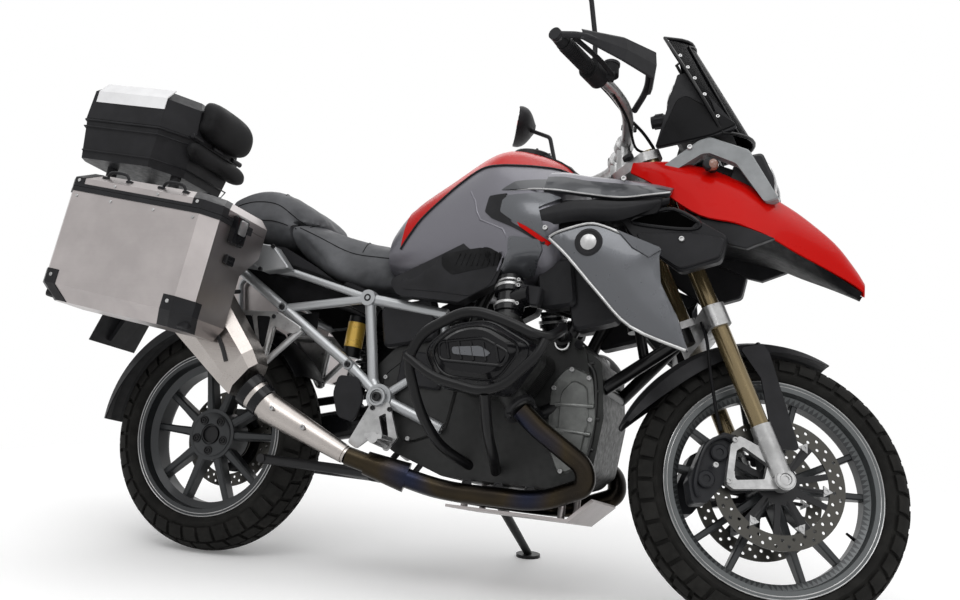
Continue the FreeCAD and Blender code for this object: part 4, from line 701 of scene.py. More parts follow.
# Tank and side panels
def plate(name, finish, outline, tree, lift, depth, both=True, view="side", ease=8.0, bulge=0.0, calm=3, order=0):
    """Draped plate with eased corners, on both sides unless told otherwise."""
    mesh = draped(rounded(outline, ease), tree, lift, depth, view, calm=calm, bulge=bulge, order=order)
    if both:
        mirror_left(mesh)
    piece(name, finish, mesh, 30.0)


RED_LOW = [(560, 146, 524), (586, 148, 566), (612, 150, 606), (663, 152, 658), (713, 154, 704), (766, 160, 738),
           (820, 172, 744), (872, 169, 744), (932, 150, 745), (972, 112, 747), (1002, 76, 749)]
RED_AXIS_DROP = 46.0
RED_COLUMNS = 24
TANK_CREASES = (((756, 668), (776, 640), (786, 610), (800, 588), (868, 560), (880, 540), (872, 500), (852, 462)),
                ((888, 541), (892, 500), (868, 456)))
UP_FILLER = (0.06, 0, 1)


def red_rows(tree, low_line, lift):
    """Points over the top of the tank, between a line on the right and its mirror image, smoothed twice."""
    rows = []
    for low in low_line:
        base = Vector((low.x, 0, low.z - RED_AXIS_DROP))
        widest = math.atan2(low.y, RED_AXIS_DROP)
        row = []
        for column in range(RED_COLUMNS + 1):
            turn = widest * (2 * column / RED_COLUMNS - 1)
            way = Vector((0, math.sin(turn), math.cos(turn)))
            row.append(tree.ray_cast(base + way * REACH, -way)[0] + way * lift)
        rows.append(row)
    for _ in range(2):
        rows = [[point if k in (0, RED_COLUMNS) or i in (0, len(rows) - 1) else
                 (point * 2 + row[k - 1] + row[k + 1] + rows[i - 1][k] + rows[i + 1][k]) / 6
                 for k, point in enumerate(row)] for i, row in enumerate(rows)]
    return rows


def make_tank():
    tank = surface("fuel_tank", "tank_wings", "side_panels")
    body = surface("fuel_tank")
    rows = red_rows(body, catmull(RED_LOW, 4), 2.6)
    red = bmesh.new()
    sheet(red, rows)
    face_outwards(red)
    thicken(red, 2.0)
    piece("tank_red_top", "red_paint", red, 50.0)
    form("tank_red_seam", "black_plastic", *[(tube, [row[side] for row in rows], 2.6, 8) for side in (0, -1)],
         both=False)
    plate("tank_centre", "black_plastic",
          [(900, -58), (1000, -64), (1040, -46), (1040, 46), (1000, 64), (900, 58), (880, 40), (880, -40)],
          body, 6.0, 6.0, both=False, view="top", ease=14.0, calm=2)
    plate("tank_silver_panel", "silver_paint",
          [(885, 540), (898, 541), (967, 532), (973, 511), (945, 456), (921, 450), (851, 458), (870, 480), (888, 508)],
          tank, 5.0, 14.0, ease=6.0, order=2)
    plate("tank_facet", "silver_paint",
          [(858, 647), (966, 657), (1008, 642), (952, 610), (946, 584), (964, 551), (989, 537), (895, 578), (856, 604)],
          tank, 5.0, 14.0, ease=6.0, order=2)
    plate("tank_chevron", "black_plastic",
          [(817, 650), (868, 654), (850, 641), (849, 609), (864, 592), (901, 570), (982, 528), (974, 522), (897, 562),
           (833, 589), (810, 608)], tank, 4.0, 12.0, ease=5.0, order=2)
    form("tank_creases", "grey_paint", *[(tube, over(tank, line, -2.6), 4.0, 8) for line in TANK_CREASES], sharp=60.0)
    plate("tank_pinstripe", "red_paint", [(907, 575), (932, 563), (992, 529), (984, 521), (959, 535), (915, 563)],
          tank, 6.4, 12.0, ease=2.0, order=2)
    plate("knee_grip", "grip_rubber",
          [(700, 500), (774, 516), (822, 521), (872, 502), (870, 480), (830, 472), (780, 460), (734, 448), (704, 470)],
          tank, 2.6, 6.0, ease=10.0, bulge=2.0)
    ribs = [[(742 + index * 14.0 + k * 3.0, 474 + k * 10.0) for k in range(4)] for index in range(9)]
    form("knee_grip_ribs", "grip_rubber", *[(tube, over(tank, points, 4.8), 1.8, 6) for points in ribs])
    plate("under_panel", "black_plastic",
          [(592, 446), (618, 482), (696, 492), (788, 514), (856, 508), (858, 470), (836, 424), (785, 396), (707, 404),
           (600, 408)], surface("side_panels", "fuel_tank"), 1.6, 4.0, ease=12.0)
    form("filler_cap", "dark_steel",
         (lathe, (846, 0, 824), UP_FILLER,
          [(-4, 52), (8, 52), (11, 49), (12, 40), (10, 38), (10, 30), (15, 27), (16, 3)]),
         *[(bolt, (846 + 45 * math.cos(turn), 45 * math.sin(turn), 835), UP_FILLER, 3.4) for turn in turns(6)],
         both=False)


# Shrouds, scoops and ducts
SHOULDER_X = [960, 1000, 1060, 1149, 1222, 1262]
SHOULDER_TOP = [(202, 704), (196, 706), (208, 692), (206, 684), (198, 678), (188, 674)]
SCOOP_ROWS = [
    [(238, 566), (233, 574), (236, 582), (234, 584), (214, 618), (194, 640)],
    [(249, 588), (248, 596), (252, 606), (248, 610), (226, 630), (202, 646)],
    [(244, 606), (240, 622), (240, 634), (234, 632), (220, 640), (202, 652)],
]
STRIP_ROWS = [
    [(226, 664), (216, 664), (222, 654), (222, 645), (216, 654), (200, 664)],
    [(216, 686), (208, 686), (216, 676), (215, 668), (208, 668), (195, 670)],
    SHOULDER_TOP,
]
SHOULDER_ROWS = [
    SHOULDER_TOP,
    [(178, 722), (174, 722), (190, 708), (188, 699), (180, 690), (172, 684)],
    [(146, 736), (144, 733), (162, 716), (164, 706), (156, 698), (150, 690)],
]
BAND_THICKNESS = 14.0
SHROUD = [(994, 530), (1019, 546), (1088, 567), (1128, 562), (1183, 540), (1269, 508), (1252, 470), (1276, 420),
          (1315, 351), (1345, 272), (1212, 320), (1131, 396), (1050, 481)]
SHROUD_SIDE = 268.5
SHROUD_EASE = 2.2
ROUNDEL_AXIS = (0.02, -1, 0)
DUCT = [(1140, 608), (1236, 628), (1290, 622), (1400, 560), (1390, 500), (1300, 470), (1180, 556)]
DUCT_LIP = [(1176, 592), (1226, 614), (1276, 622), (1336, 590), (1318, 574), (1228, 580)]


def shoulder_line(row, lift):
    return [(x, -(y + lift), z) for x, (y, z) in zip(SHOULDER_X, row)]


def band(name, finish, rows, lift, **more):
    """Smooth panel through rows of (side, height) at the shoulder's stations, on both sides."""
    mesh = bmesh.new()
    lines = [catmull(shoulder_line(row, lift), 5) for row in rows]
    sheet(mesh, [catmull(column, 5) for column in zip(*lines)])
    face_outwards(mesh)
    for face in mesh.faces:
        if face.normal.y > 0:
            face.normal_flip()
    thicken(mesh, BAND_THICKNESS)
    mirror_left(mesh)
    piece(name, finish, mesh, 40.0, **more)


def add_shoulders():
    """Scoop, charcoal strip and painted shoulder between the tank and the beak."""
    band("scoops", "black_plastic", SCOOP_ROWS, 0.0, replaces=("tank_wings",), slot="black_plastic")
    band("wing_strips", "charcoal", STRIP_ROWS, 1.0)
    band("shoulders", "grey_paint", SHOULDER_ROWS, 0.4)
    edge = [(872, -219, 662), (920, -223, 666)] + shoulder_line(STRIP_ROWS[0], 3.0)
    form("wing_strip_edges", "silver_alloy", (tube, edge, 2.4, 8, 5))
    plate("wing_strip_tips", "charcoal", [(846, 665), (880, 690), (970, 704), (970, 666), (922, 666)],
          surface("fuel_tank"), 2.6, 8.0, ease=5.0, order=2)
    form("shoulder_liners", "hose_rubber",
         (prism, [(990, 560), (1000, 640), (1250, 650), (1240, 610), (1120, 588)], -214, -160, 2.0, 10))
    form("duct_bodies", "black_plastic", (prism, DUCT, -205, -172, 4.0, 10), sharp=30.0)
    form("duct_lips", "black_cover", (loop, [(x, -206, z) for x, z in DUCT_LIP], 4.6, 8, 3))
    # Painted shade: flat black sheets in the duct mouths stand for the darkness inside them.
    form("duct_mouth_shades", "flat_black_painted_shade",
         (prism, [(1180, 592), (1226, 611), (1276, 618), (1328, 590), (1316, 577), (1230, 583)], -207.5, -200, 1.0))


def upright_plane(side):
    """Plane at a distance to the right."""
    far = 3000.0
    corners = [(-far, -side, -far), (far, -side, -far), (far, -side, far), (-far, -side, far)]
    return BVHTree.FromPolygons(corners, [(0, 1, 2, 3)])


def make_sides():
    wings = draped(rounded(SHROUD, 9.0), upright_plane(SHROUD_SIDE), 0.0, 13.0, cell=16.0, bulge=9.0)
    mirror_left(wings)
    shroud = piece("shroud_wings", "silver_paint", wings, 24.0, replaces=("radiator_shrouds",), slot="silver_paint")
    ease = shroud.modifiers.new("ease", "BEVEL")
    ease.width = SHROUD_EASE * MM
    ease.segments = 3
    ease.limit_method = "ANGLE"
    # Painted highlight: light metal tubes along the shroud's top and lower edges stand for the highlights on its
    # rounded edges.
    form("shroud_edge_highlights", "silver_alloy", sharp=60.0, *[
        (tube, [(x, side, z) for x, z in line], radius, 8, steps) for line, side, radius, steps in (
            (((1000, 528), (1050, 484), (1131, 399), (1212, 324), (1340, 276)), -270.5, 4.2, 4),
            (((1000, 531), (1022, 545), (1088, 565), (1128, 560), (1180, 540)), -271, 3.4, 3))])
    form("shroud_facets", "silver_paint",
         (prism, [(1161, 551), (1262, 512), (1268, 506), (1240, 486), (1200, 508)], -278, -262, 3.0), sharp=24.0)
    form("side_roundels", "black_plastic",
         (lathe, (1098, -275, 519), ROUNDEL_AXIS, [(-6, 33), (3.0, 33), (4.4, 31), (4.4, 27), (3.2, 26), (3.2, 1)]))
    form("side_roundel_centres", "silver_alloy",
         (lathe, (1098, -278, 519), ROUNDEL_AXIS, [(-3, 19), (1.6, 19), (2.6, 17.5), (2.6, 1)], 40))
    add_shoulders()
    form("duct_cheeks", "black_plastic",
         (prism, [(1190, 560), (1320, 566), (1398, 552), (1388, 508), (1300, 476), (1214, 530)], -212, -198, 3.0, 12))
    form("panel_screws", "silver_alloy",
         *[(bolt, place, (0, -1, 0.05), 6.5) for place in (
             (982, -252, 559), (1154, -222, 692), (1300, -213, 548), (1285, -128, 803))])


# Nose
OPEN_UNTIL = 1411.0
NOSE_STEPS = 4
NOSE = [
    (1150, [(112, 768), (128, 764), (136, 754), (142, 744), (146, 733)]),
    (1200, [(96, 776), (118, 770), (134, 754), (146, 736), (156, 706)]),
    (1250, [(78, 778), (104, 773), (128, 752), (148, 728), (170, 668)]),
    (1331, [(46, 766), (86, 760), (120, 738), (148, 704), (183, 616)]),
    (1412, [(0, 738), (60, 736), (104, 716), (140, 680), (180, 600)]),
    (1450, [(0, 722), (62, 716), (104, 692), (134, 655), (167, 588)]),
    (1490, [(0, 697), (58, 690), (96, 664), (124, 630), (150, 574)]),
    (1545, [(0, 664), (48, 654), (78, 630), (100, 598), (117, 548)]),
    (1620, [(0, 600), (32, 594), (52, 578), (66, 550), (72, 516)]),
    (1668, [(0, 540), (16, 536), (30, 526), (40, 512), (42, 494)]),
    (1690, [(0, 504), (9, 503), (18, 499), (26, 491), (29, 480)]),
]
BEAK_EDGE = [(1331, -180, 612), (1412, -176, 597), (1490, -146, 571), (1545, -113, 545), (1620, -68, 513),
             (1685, -24, 480)]
BEAK_FOLD = [(1350, -120, 600), (1412, -110, 592), (1490, -90, 568), (1545, -70, 543), (1620, -40, 510),
             (1680, -8, 479)]
NOSE_ARCH = [(1206, 744), (1304, 822), (1330, 830), (1424, 796), (1500, 674), (1470, 664), (1400, 762), (1330, 792),
             (1310, 788), (1250, 744)]
LAMP_AIM = (1, 0, 0.28)
LAMPS = ((-44, 38), (46, 32))


def make_beak():
    """Shell through half sections from the middle outwards, open in the middle behind the lamp, and its underside."""
    shell = bmesh.new()
    lines = [catmull([(x, -half[index][0], half[index][1]) for x, half in NOSE], NOSE_STEPS)
             for index in range(len(NOSE[0][1]))]
    sheet(shell, [catmull(column, NOSE_STEPS) for column in zip(*lines)],
          lambda row: NOSE_STEPS if row[-1].co.x < OPEN_UNTIL else 0)
    bmesh.ops.delete(shell, geom=[vertex for vertex in shell.verts if not vertex.link_faces], context="VERTS")
    face_outwards(shell)
    if sum(face.normal.z for face in shell.faces) < 0:
        bmesh.ops.reverse_faces(shell, faces=shell.faces[:])
    thicken(shell, 5.0)
    mirror_left(shell)
    piece("beak_shell", "red_paint", shell, 40.0, replaces=("beak",), slot="red_paint")
    under = bmesh.new()
    fold = catmull(BEAK_FOLD, 4)
    sheet(under, [catmull(BEAK_EDGE, 4), [point - Vector((0, 0, 14)) for point in fold],
                  [(point.x, 0, point.z - 16) for point in fold]])
    thicken(under, 4.0)
    mirror_left(under)
    piece("beak_underside", "black_plastic", under, 40.0)


def make_nose():
    make_beak()
    form("beak_lower_plates", "black_plastic",
         (prism, [(1300, 612), (1331, 618), (1412, 600), (1500, 566), (1440, 540), (1404, 548), (1330, 580)],
          -172, -150, 3.0), sharp=30.0)
    arch = bmesh.new()
    prism(arch, NOSE_ARCH, -127, -90, 4.0, 8)
    rod(arch, (1338, -96, 752), (1318, -96, 790), 8.0)
    mirror_left(arch)
    rod(arch, (1330, -96, 806), (1330, 96, 806), 10.0)
    rod(arch, (1308, 0, 770), (1330, 0, 806), 12.0)
    piece("nose_arches", "arch_grey", arch, 30.0, replaces=("nose_frame",), slot="arch_grey")
    form("nose_stays", "dark_steel", (rod, (1245, 0, 712), (1330, 0, 806), 14.0),
         (rod, (1338, -100, 752), (1338, -128, 752), 9.0))
    form("indicator_housings", "black_plastic",
         (lathe, (1334, -122, 752), (0.1, -1, 0.05), [(0, 8), (8, 13), (26, 15), (31, 12), (33, 2)], 32))
    form("indicator_lenses", "lamp_lens",
         (lathe, (1336, -138, 753), (1, -0.5, 0), [(0, 14), (14, 14), (20, 10), (23, 2)], 28))
    form("nose_liners", "hose_rubber",
         (prism, [(1240, 700), (1300, 772), (1330, 780), (1392, 756), (1450, 664), (1330, 640)], -84, -70, 2.0, 10))


def make_headlamp():
    form("headlamp_case", "black_plastic",
         (prism, [(1362, 700), (1392, 790), (1450, 802), (1480, 742), (1484, 696), (1440, 682)], -92, 92, 8.0, 10),
         (rod, (1380, 0, 760), (1300, 0, 776), 12.0),
         both=False, sharp=30.0, replaces=("headlamp",), slot="lamp_glass")
    form("headlamp_bezels", "chrome", both=False, *[
        (lathe, (1456, y, 742), LAMP_AIM,
         [(0, radius + 5), (16, radius + 5), (20, radius + 2), (18, radius - 2), (6, radius - 12), (2, radius * 0.3),
          (2, 2)], 40) for y, radius in LAMPS])
    form("headlamp_glasses", "clear_lens", both=False, *[
        (lathe, (1456, y, 742), LAMP_AIM, [(15, radius - 1), (22, radius * 0.7), (25, radius * 0.3), (25.5, 1)], 36)
        for y, radius in LAMPS])


# Screen
SCREEN_ROWS, SCREEN_COLUMNS = 14, 20
SCREEN_FOOT, SCREEN_RISE = Vector((1415, 0, 857)), Vector((-168, 0, 266))
SCREEN_HALF, SCREEN_BELLY, SCREEN_TAPER = 112, 40, 24
SCREEN_SWEEP = Vector((-62, 0, -12.4))
SCREEN_OUT = Vector((0.85, 0, 0.53))
SCREEN_TRIM, SCREEN_TRIM_FROM = 0.12, 0.85


def screen_point(share, side, lift=0.0):
    """Point of the screen: share runs up it, side across it from -1 to 1."""
    half = SCREEN_HALF + SCREEN_BELLY * math.sin(share * math.pi) - SCREEN_TAPER * share
    middle = SCREEN_FOOT + SCREEN_RISE * share + SCREEN_SWEEP * side ** 2
    return middle + SCREEN_OUT * lift + Vector((0, side * half, 0))


def make_screen():
    glass = bmesh.new()
    rows = []
    for row in range(SCREEN_ROWS + 1):
        share = row / SCREEN_ROWS
        trim = 1.0 - SCREEN_TRIM * max(share - SCREEN_TRIM_FROM, 0) / (1 - SCREEN_TRIM_FROM)
        rows.append([screen_point(share, (2 * column / SCREEN_COLUMNS - 1) * trim)
                     for column in range(SCREEN_COLUMNS + 1)])
    sheet(glass, rows)
    thicken(glass, 3.5)
    piece("screen_glass", "smoked_glass", glass, 40.0, replaces=("windscreen",), slot="smoked_glass")
    border = [(t / 10, -0.97) for t in range(11)] + [(1.0, s / 5 - 0.8) for s in range(1, 9)]
    border += [(1 - share, -side) for share, side in border]
    lines = [[(0.0, side * 0.66), (0.5, side * 0.6), (0.93, side * 0.5)] for side in (-1, 1)]
    lines.append([(0.93, -0.5), (0.97, 0), (0.93, 0.5)])
    form("screen_border", "black_frame", (loop, [screen_point(*at, 2.0) for at in border], 4.5),
         *[(tube, [screen_point(*at, 3.0) for at in line], 2.5, 8, 5) for line in lines], both=False)
    form("screen_screws", "chrome", both=False, *[
        (bolt, screen_point(share, side * 0.9, 1.0), (0.3, side * 0.9, 0.25), 5.0, 5.0)
        for share in (0.14, 0.34, 0.5, 0.62, 0.76) for side in (-1, 1)])


# Seats and pads
VOXEL, WELD = 0.006, 0.00005
CLOTH_FRAMES, CLOTH_QUALITY = 20, 6
CLOTH_CAP = 24.0
PRESSURE = 4.0


def puff_up(shape):
    """Swells a cushion with a cloth simulation, no point by more than the cap."""
    before = [vertex.co.copy() for vertex in shape.data.vertices]
    cloth = shape.modifiers.new("cloth", "CLOTH")
    cloth.settings.use_pressure = True
    cloth.settings.uniform_pressure_force = PRESSURE
    cloth.settings.effector_weights.gravity = 0.0
    cloth.settings.quality = CLOTH_QUALITY
    cloth.point_cache.frame_start = 1
    cloth.point_cache.frame_end = CLOTH_FRAMES
    scene = bpy.context.scene
    for step in range(CLOTH_FRAMES):
        scene.frame_set(step + 1)
        bpy.context.view_layer.update()
    bpy.ops.object.modifier_apply(modifier="cloth")
    scene.frame_set(1)
    for vertex, start in zip(shape.data.vertices, before):
        move = vertex.co - start
        if move.length > CLOTH_CAP * MM:
            vertex.co = start + move.normalized() * CLOTH_CAP * MM


def cushion(node, finish, shrink, body="chassis"):
    """Cushion from its node: shrunk, puffed up and smoothed."""
    data = frame["nodes"][node].data.copy()
    data.name = node + "_cover"
    shape = add_object(data.name, data)
    mesh = bmesh.new()
    mesh.from_mesh(data)
    bmesh.ops.remove_doubles(mesh, verts=mesh.verts[:], dist=WELD)
    mesh.normal_update()
    for vertex in mesh.verts:
        vertex.co -= vertex.normal * shrink * MM
    mesh.to_mesh(data)
    mesh.free()
    data.materials.clear()
    bpy.context.view_layer.objects.active = shape
    shape.select_set(True)
    remesh = shape.modifiers.new("remesh", "REMESH")
    remesh.mode = "VOXEL"
    remesh.voxel_size = VOXEL
    bpy.ops.object.modifier_apply(modifier="remesh")
    puff_up(shape)
    smooth = shape.modifiers.new("smooth", "SMOOTH")
    smooth.factor = 0.5
    smooth.iterations = 8
    bpy.ops.object.modifier_apply(modifier="smooth")
    shape.select_set(False)
    shape.data.shade_smooth()
    shape.data.materials.append(FINISHES[finish].material)
    extra = shape.modifiers.new("finer", "SUBSURF")
    extra.levels = extra.render_levels = 1
    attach(shape, body)
    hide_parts(node)
    return shape


def cover_tree(shape):
    """Surface of a finished chassis piece, in the machine's millimetres."""
    bpy.context.view_layer.update()
    back = CHASSIS.inverted() @ shape.matrix_world
    return BVHTree.FromPolygons([back @ vertex.co for vertex in shape.data.vertices],
                                [polygon.vertices[:] for polygon in shape.data.polygons])


def seam(mesh, tree, points, view="side"):
    """Piping along a line drawn in one view, on a surface."""
    tube(mesh, over(tree, catmull(points, 6), 0.6, view), 1.4, 6)


def make_seats():
    rider = cushion("rider_seat", "seat_vinyl", 4.0)
    pillion = cushion("pillion_seat", "seat_vinyl", 4.0)
    cushion("lower_pad", "grip_rubber", 3.0)
    cushion("backrest_pad", "grip_rubber", 3.0, "top_case_lid")
    seams = bmesh.new()
    rider, pillion = cover_tree(rider), cover_tree(pillion)
    seam(seams, rider, [(240, 584), (300, 560), (400, 520), (480, 514), (530, 516)])
    seam(seams, pillion, [(0, 648), (80, 660), (160, 650), (230, 606), (280, 584)])
    seam(seams, pillion, [(20, 612), (90, 604), (160, 600), (230, 580)])
    mirror_left(seams)
    seam(seams, rider, [(430, -104), (424, -50), (422, 0), (424, 50), (430, 104)], "top")
    seam(seams, rider, [(262, -112), (270, -50), (272, 0), (270, 50), (262, 112)], "top")
    seam(seams, pillion, [(160, -96), (150, -50), (148, 0), (150, 50), (160, 96)], "top")
    piece("seat_seams", "hose_rubber", seams)


# Engine
COVER_OUTLINE = [(726, 232), (800, 300), (900, 318), (1012, 262), (1016, 232), (958, 140), (776, 148)]
HEAD_FACE = 292.0
COVER_FACE = 372.0
COVER_LAYERS = [(1.0, HEAD_FACE, 26), (1.01, HEAD_FACE + 5, 26), (0.985, HEAD_FACE + 12, 26),
                (0.95, HEAD_FACE + 26, 28), (0.9, HEAD_FACE + 44, 30), (0.8, HEAD_FACE + 60, 34),
                (0.68, HEAD_FACE + 72, 34), (0.6, COVER_FACE, 30)]
COVER_INSET = [(792, 246), (900, 262), (966, 232), (956, 200), (800, 204)]
COVER_SCREWS = ((752, 232), (986, 238), (944, 158), (792, 164), (800, 286), (896, 300))
INTAKE_LOW, INTAKE_HIGH = Vector((901, -214, 332)), Vector((887, -184, 445))
EXHAUST_PORT, EXHAUST_WAY = (967, 252, 119), (41, 14, -37)
CASE_PAINTED_SHADE_FROM = 1030.0
CASE_FACE = -137


def head_ring(share, y, ease, steps=5):
    """Outline of the cylinder head, drawn in towards its middle, at a distance to the right."""
    x, z = (sum(values) / len(values) for values in zip(*COVER_OUTLINE))
    drawn_in = [(x + (a - x) * share, z + (b - z) * share) for a, b in COVER_OUTLINE]
    return [(p.x, -y, p.y) for p in rounded(drawn_in, ease, steps)]


def make_valve_covers():
    form("valve_cover_domes", "black_cover", (bridge, [head_ring(*layer) for layer in COVER_LAYERS]),
         sharp=34.0, replaces=("valve_covers",), slot="black_cover")
    inset = [(p.x, -COVER_FACE + 0.5, p.y) for p in rounded(COVER_INSET, 14)]
    form("valve_cover_ribs", "black_cover", (loop, head_ring(0.9, HEAD_FACE + 42, 30), 4.0),
         (loop, head_ring(0.74, HEAD_FACE + 66, 30), 3.4), (loop, inset, 4.0),
         *[(rod, (x, -COVER_FACE - 1, 250), (x + 12, -COVER_FACE - 1, 208), 3.4, 8) for x in range(812, 962, 30)])
    form("valve_cover_grilles", "silver_paint",
         (prism, [(826, 236), (896, 243), (924, 228), (916, 217), (830, 219)],
          -COVER_FACE - 4, -COVER_FACE + 6, 1.5, 8))
    screws = []
    for x, z in COVER_SCREWS:
        screws += [(rod, (x, -HEAD_FACE - 2, z), (x, -HEAD_FACE - 24, z), 9.0),
                   (bolt, (x, -HEAD_FACE - 24, z), RIGHT, 6.5)]
    form("valve_cover_screws", "silver_alloy", *screws)
    form("head_gaskets", "cast_alloy", (bridge, [head_ring(1.012, y, 26) for y in (HEAD_FACE - 6, HEAD_FACE)]))


def make_engine():
    form("barrel_fins", "cast_alloy",
         *[(bridge, [head_ring(0.93, fin, 20, 4), head_ring(0.93, fin + 2.6, 20, 4)]) for fin in range(136, 235, 9)])
    form("case_ribs", "cast_alloy", *[
        (tube, [(x, -122, z) for x, z in line], 6.0, 8, 4) for line in (
            ((1064, 262), (1100, 236), (1112, 130), (1098, 20), (1050, -20)),
            ((700, 250), (640, 180), (640, 90), (700, 10)), ((610, 240), (560, 180), (560, 90), (610, 30)))
    ], *[
        (rod, (a, -123, b), (c, -121, d), 4.0, 8) for a, b, c, d in (
            (1060, 200, 1116, 190), (1060, 130, 1124, 124), (1060, 60, 1116, 50), (1040, 240, 1098, 260),
            (560, 140, 700, 140), (560, 90, 700, 70))
    ], (prism, [(620, 250), (720, 262), (760, 180), (740, 60), (640, 20), (560, 80), (550, 190)], -136, -112, 5.0, 24),
        sharp=30.0)
    form("front_covers", "cast_grey",
         (prism, [(1040, 250), (1100, 230), (1116, 120), (1100, 10), (1040, -20), (1000, 60), (1000, 200)],
          -134, -110, 5.0, 20),
         (prism, [(1056, 214), (1092, 200), (1102, 120), (1090, 36), (1056, 14), (1030, 70), (1028, 180)],
          -141, -130, 4.0, 14),
         *[(rod, (x, CASE_FACE, z), (far, CASE_FACE, top), 6.0, 10) for x, z, far, top in (
             (1020, 90, 1110, 84), (1018, 150, 1112, 152))],
         sharp=30.0)
    # Painted shade: the crankcase's faces towards the front take a darker copy of the grey cast metal.
    shade_where("crankcase", "chassis", "cast_painted_shade", lambda place: place.x > CASE_PAINTED_SHADE_FROM)
    form("case_screws", "silver_alloy", *[
        (bolt, (x, CASE_FACE, z), RIGHT, 6.0) for x, z in (
            (1050, 238), (1094, 220), (1106, 120), (1092, 20), (1046, -8), (1010, 60), (1010, 190), (632, 238),
            (712, 250), (746, 180), (728, 66), (644, 34), (572, 86), (562, 186))])
    form("frame_ring", "chrome",
         (lathe, (1020, -134, 300), (0.1, -1, 0), [(0, 15), (0, 19), (10, 20), (13, 18), (13, 15), (0, 15)], 40, True),
         both=False)
    form("frame_plugs", "black_cover", (rod, (1020, -112, 300), (1020, -136, 300), 16.0),
         (rod, (1062, -112, 298), (1062, -142, 300), 11.0))
    along = INTAKE_HIGH - INTAKE_LOW
    clamps = []
    for share, radius, width in ((0.3, 38, 0.07), (0.72, 39, 0.07), (0.86, 33, 0.05)):
        start, middle, end = (INTAKE_LOW + along * (share + width * part) for part in (0, 0.5, 1))
        clamps += [(rod, start, end, radius, 36, 1.0),
                   (bolt, middle + Vector((26, -30, 4)), (0.6, -0.8, 0), 5.0, 10.0)]
    form("intake_clamps", "silver_alloy", *clamps)
    # Painted shade: black boxes fill the dark gaps around the engine, inside the frame.
    form("painted_shade_boxes", "black_plastic", sharp=30.0, *[(slab, *box) for box in (
        ((952, -214, 398), (54, 34, 48), 8, 4), ((1000, -150, 440), (90, 60, 120), -10, 8),
        ((1080, -130, 420), (110, 60, 160), -16, 8), ((610, -130, 330), (150, 40, 110), -12, 8),
        ((660, -138, 210), (120, 26, 90), 4, 6), ((440, -96, 396), (120, 40, 60), 22, 6))])
    flanges = []
    for side in (-1, 1):
        centre, way = (Vector((x, side * y, z)) for x, y, z in (EXHAUST_PORT, EXHAUST_WAY))
        way.normalize()
        flanges.append((lathe, centre, way, [(-6, 40), (4, 40), (6, 36), (6, 26)], 36))
        first, second = across(way)
        for turn in (0.6, 0.6 + math.pi):
            place = centre + (first * math.cos(turn) + second * math.sin(turn)) * 35 + way * 6
            flanges.append((bolt, place, way, 6.0, 9.0))
    form("exhaust_flanges", "dark_steel", *flanges, both=False)
    form("skid_plate_slots", "dark_steel", *[
        (lathe, (x, -151, -62), (0, -1, 0.2), [(0, 13), (1.4, 13), (1.4, 9), (0.2, 8.5), (0.2, 1)], 28)
        for x in (820, 900, 980, 1050)])


# Exhaust end and rear
INLAY_LINES = (((30, 392), (84, 318), (150, 226), (176, 176)), ((50, 250), (96, 312), (120, 356), (126, 380)))
COLLAR_ENDS = Vector((230, -233, 110)), Vector((290, -222, 68))
COLLAR_WAY = (74, 14, -52)


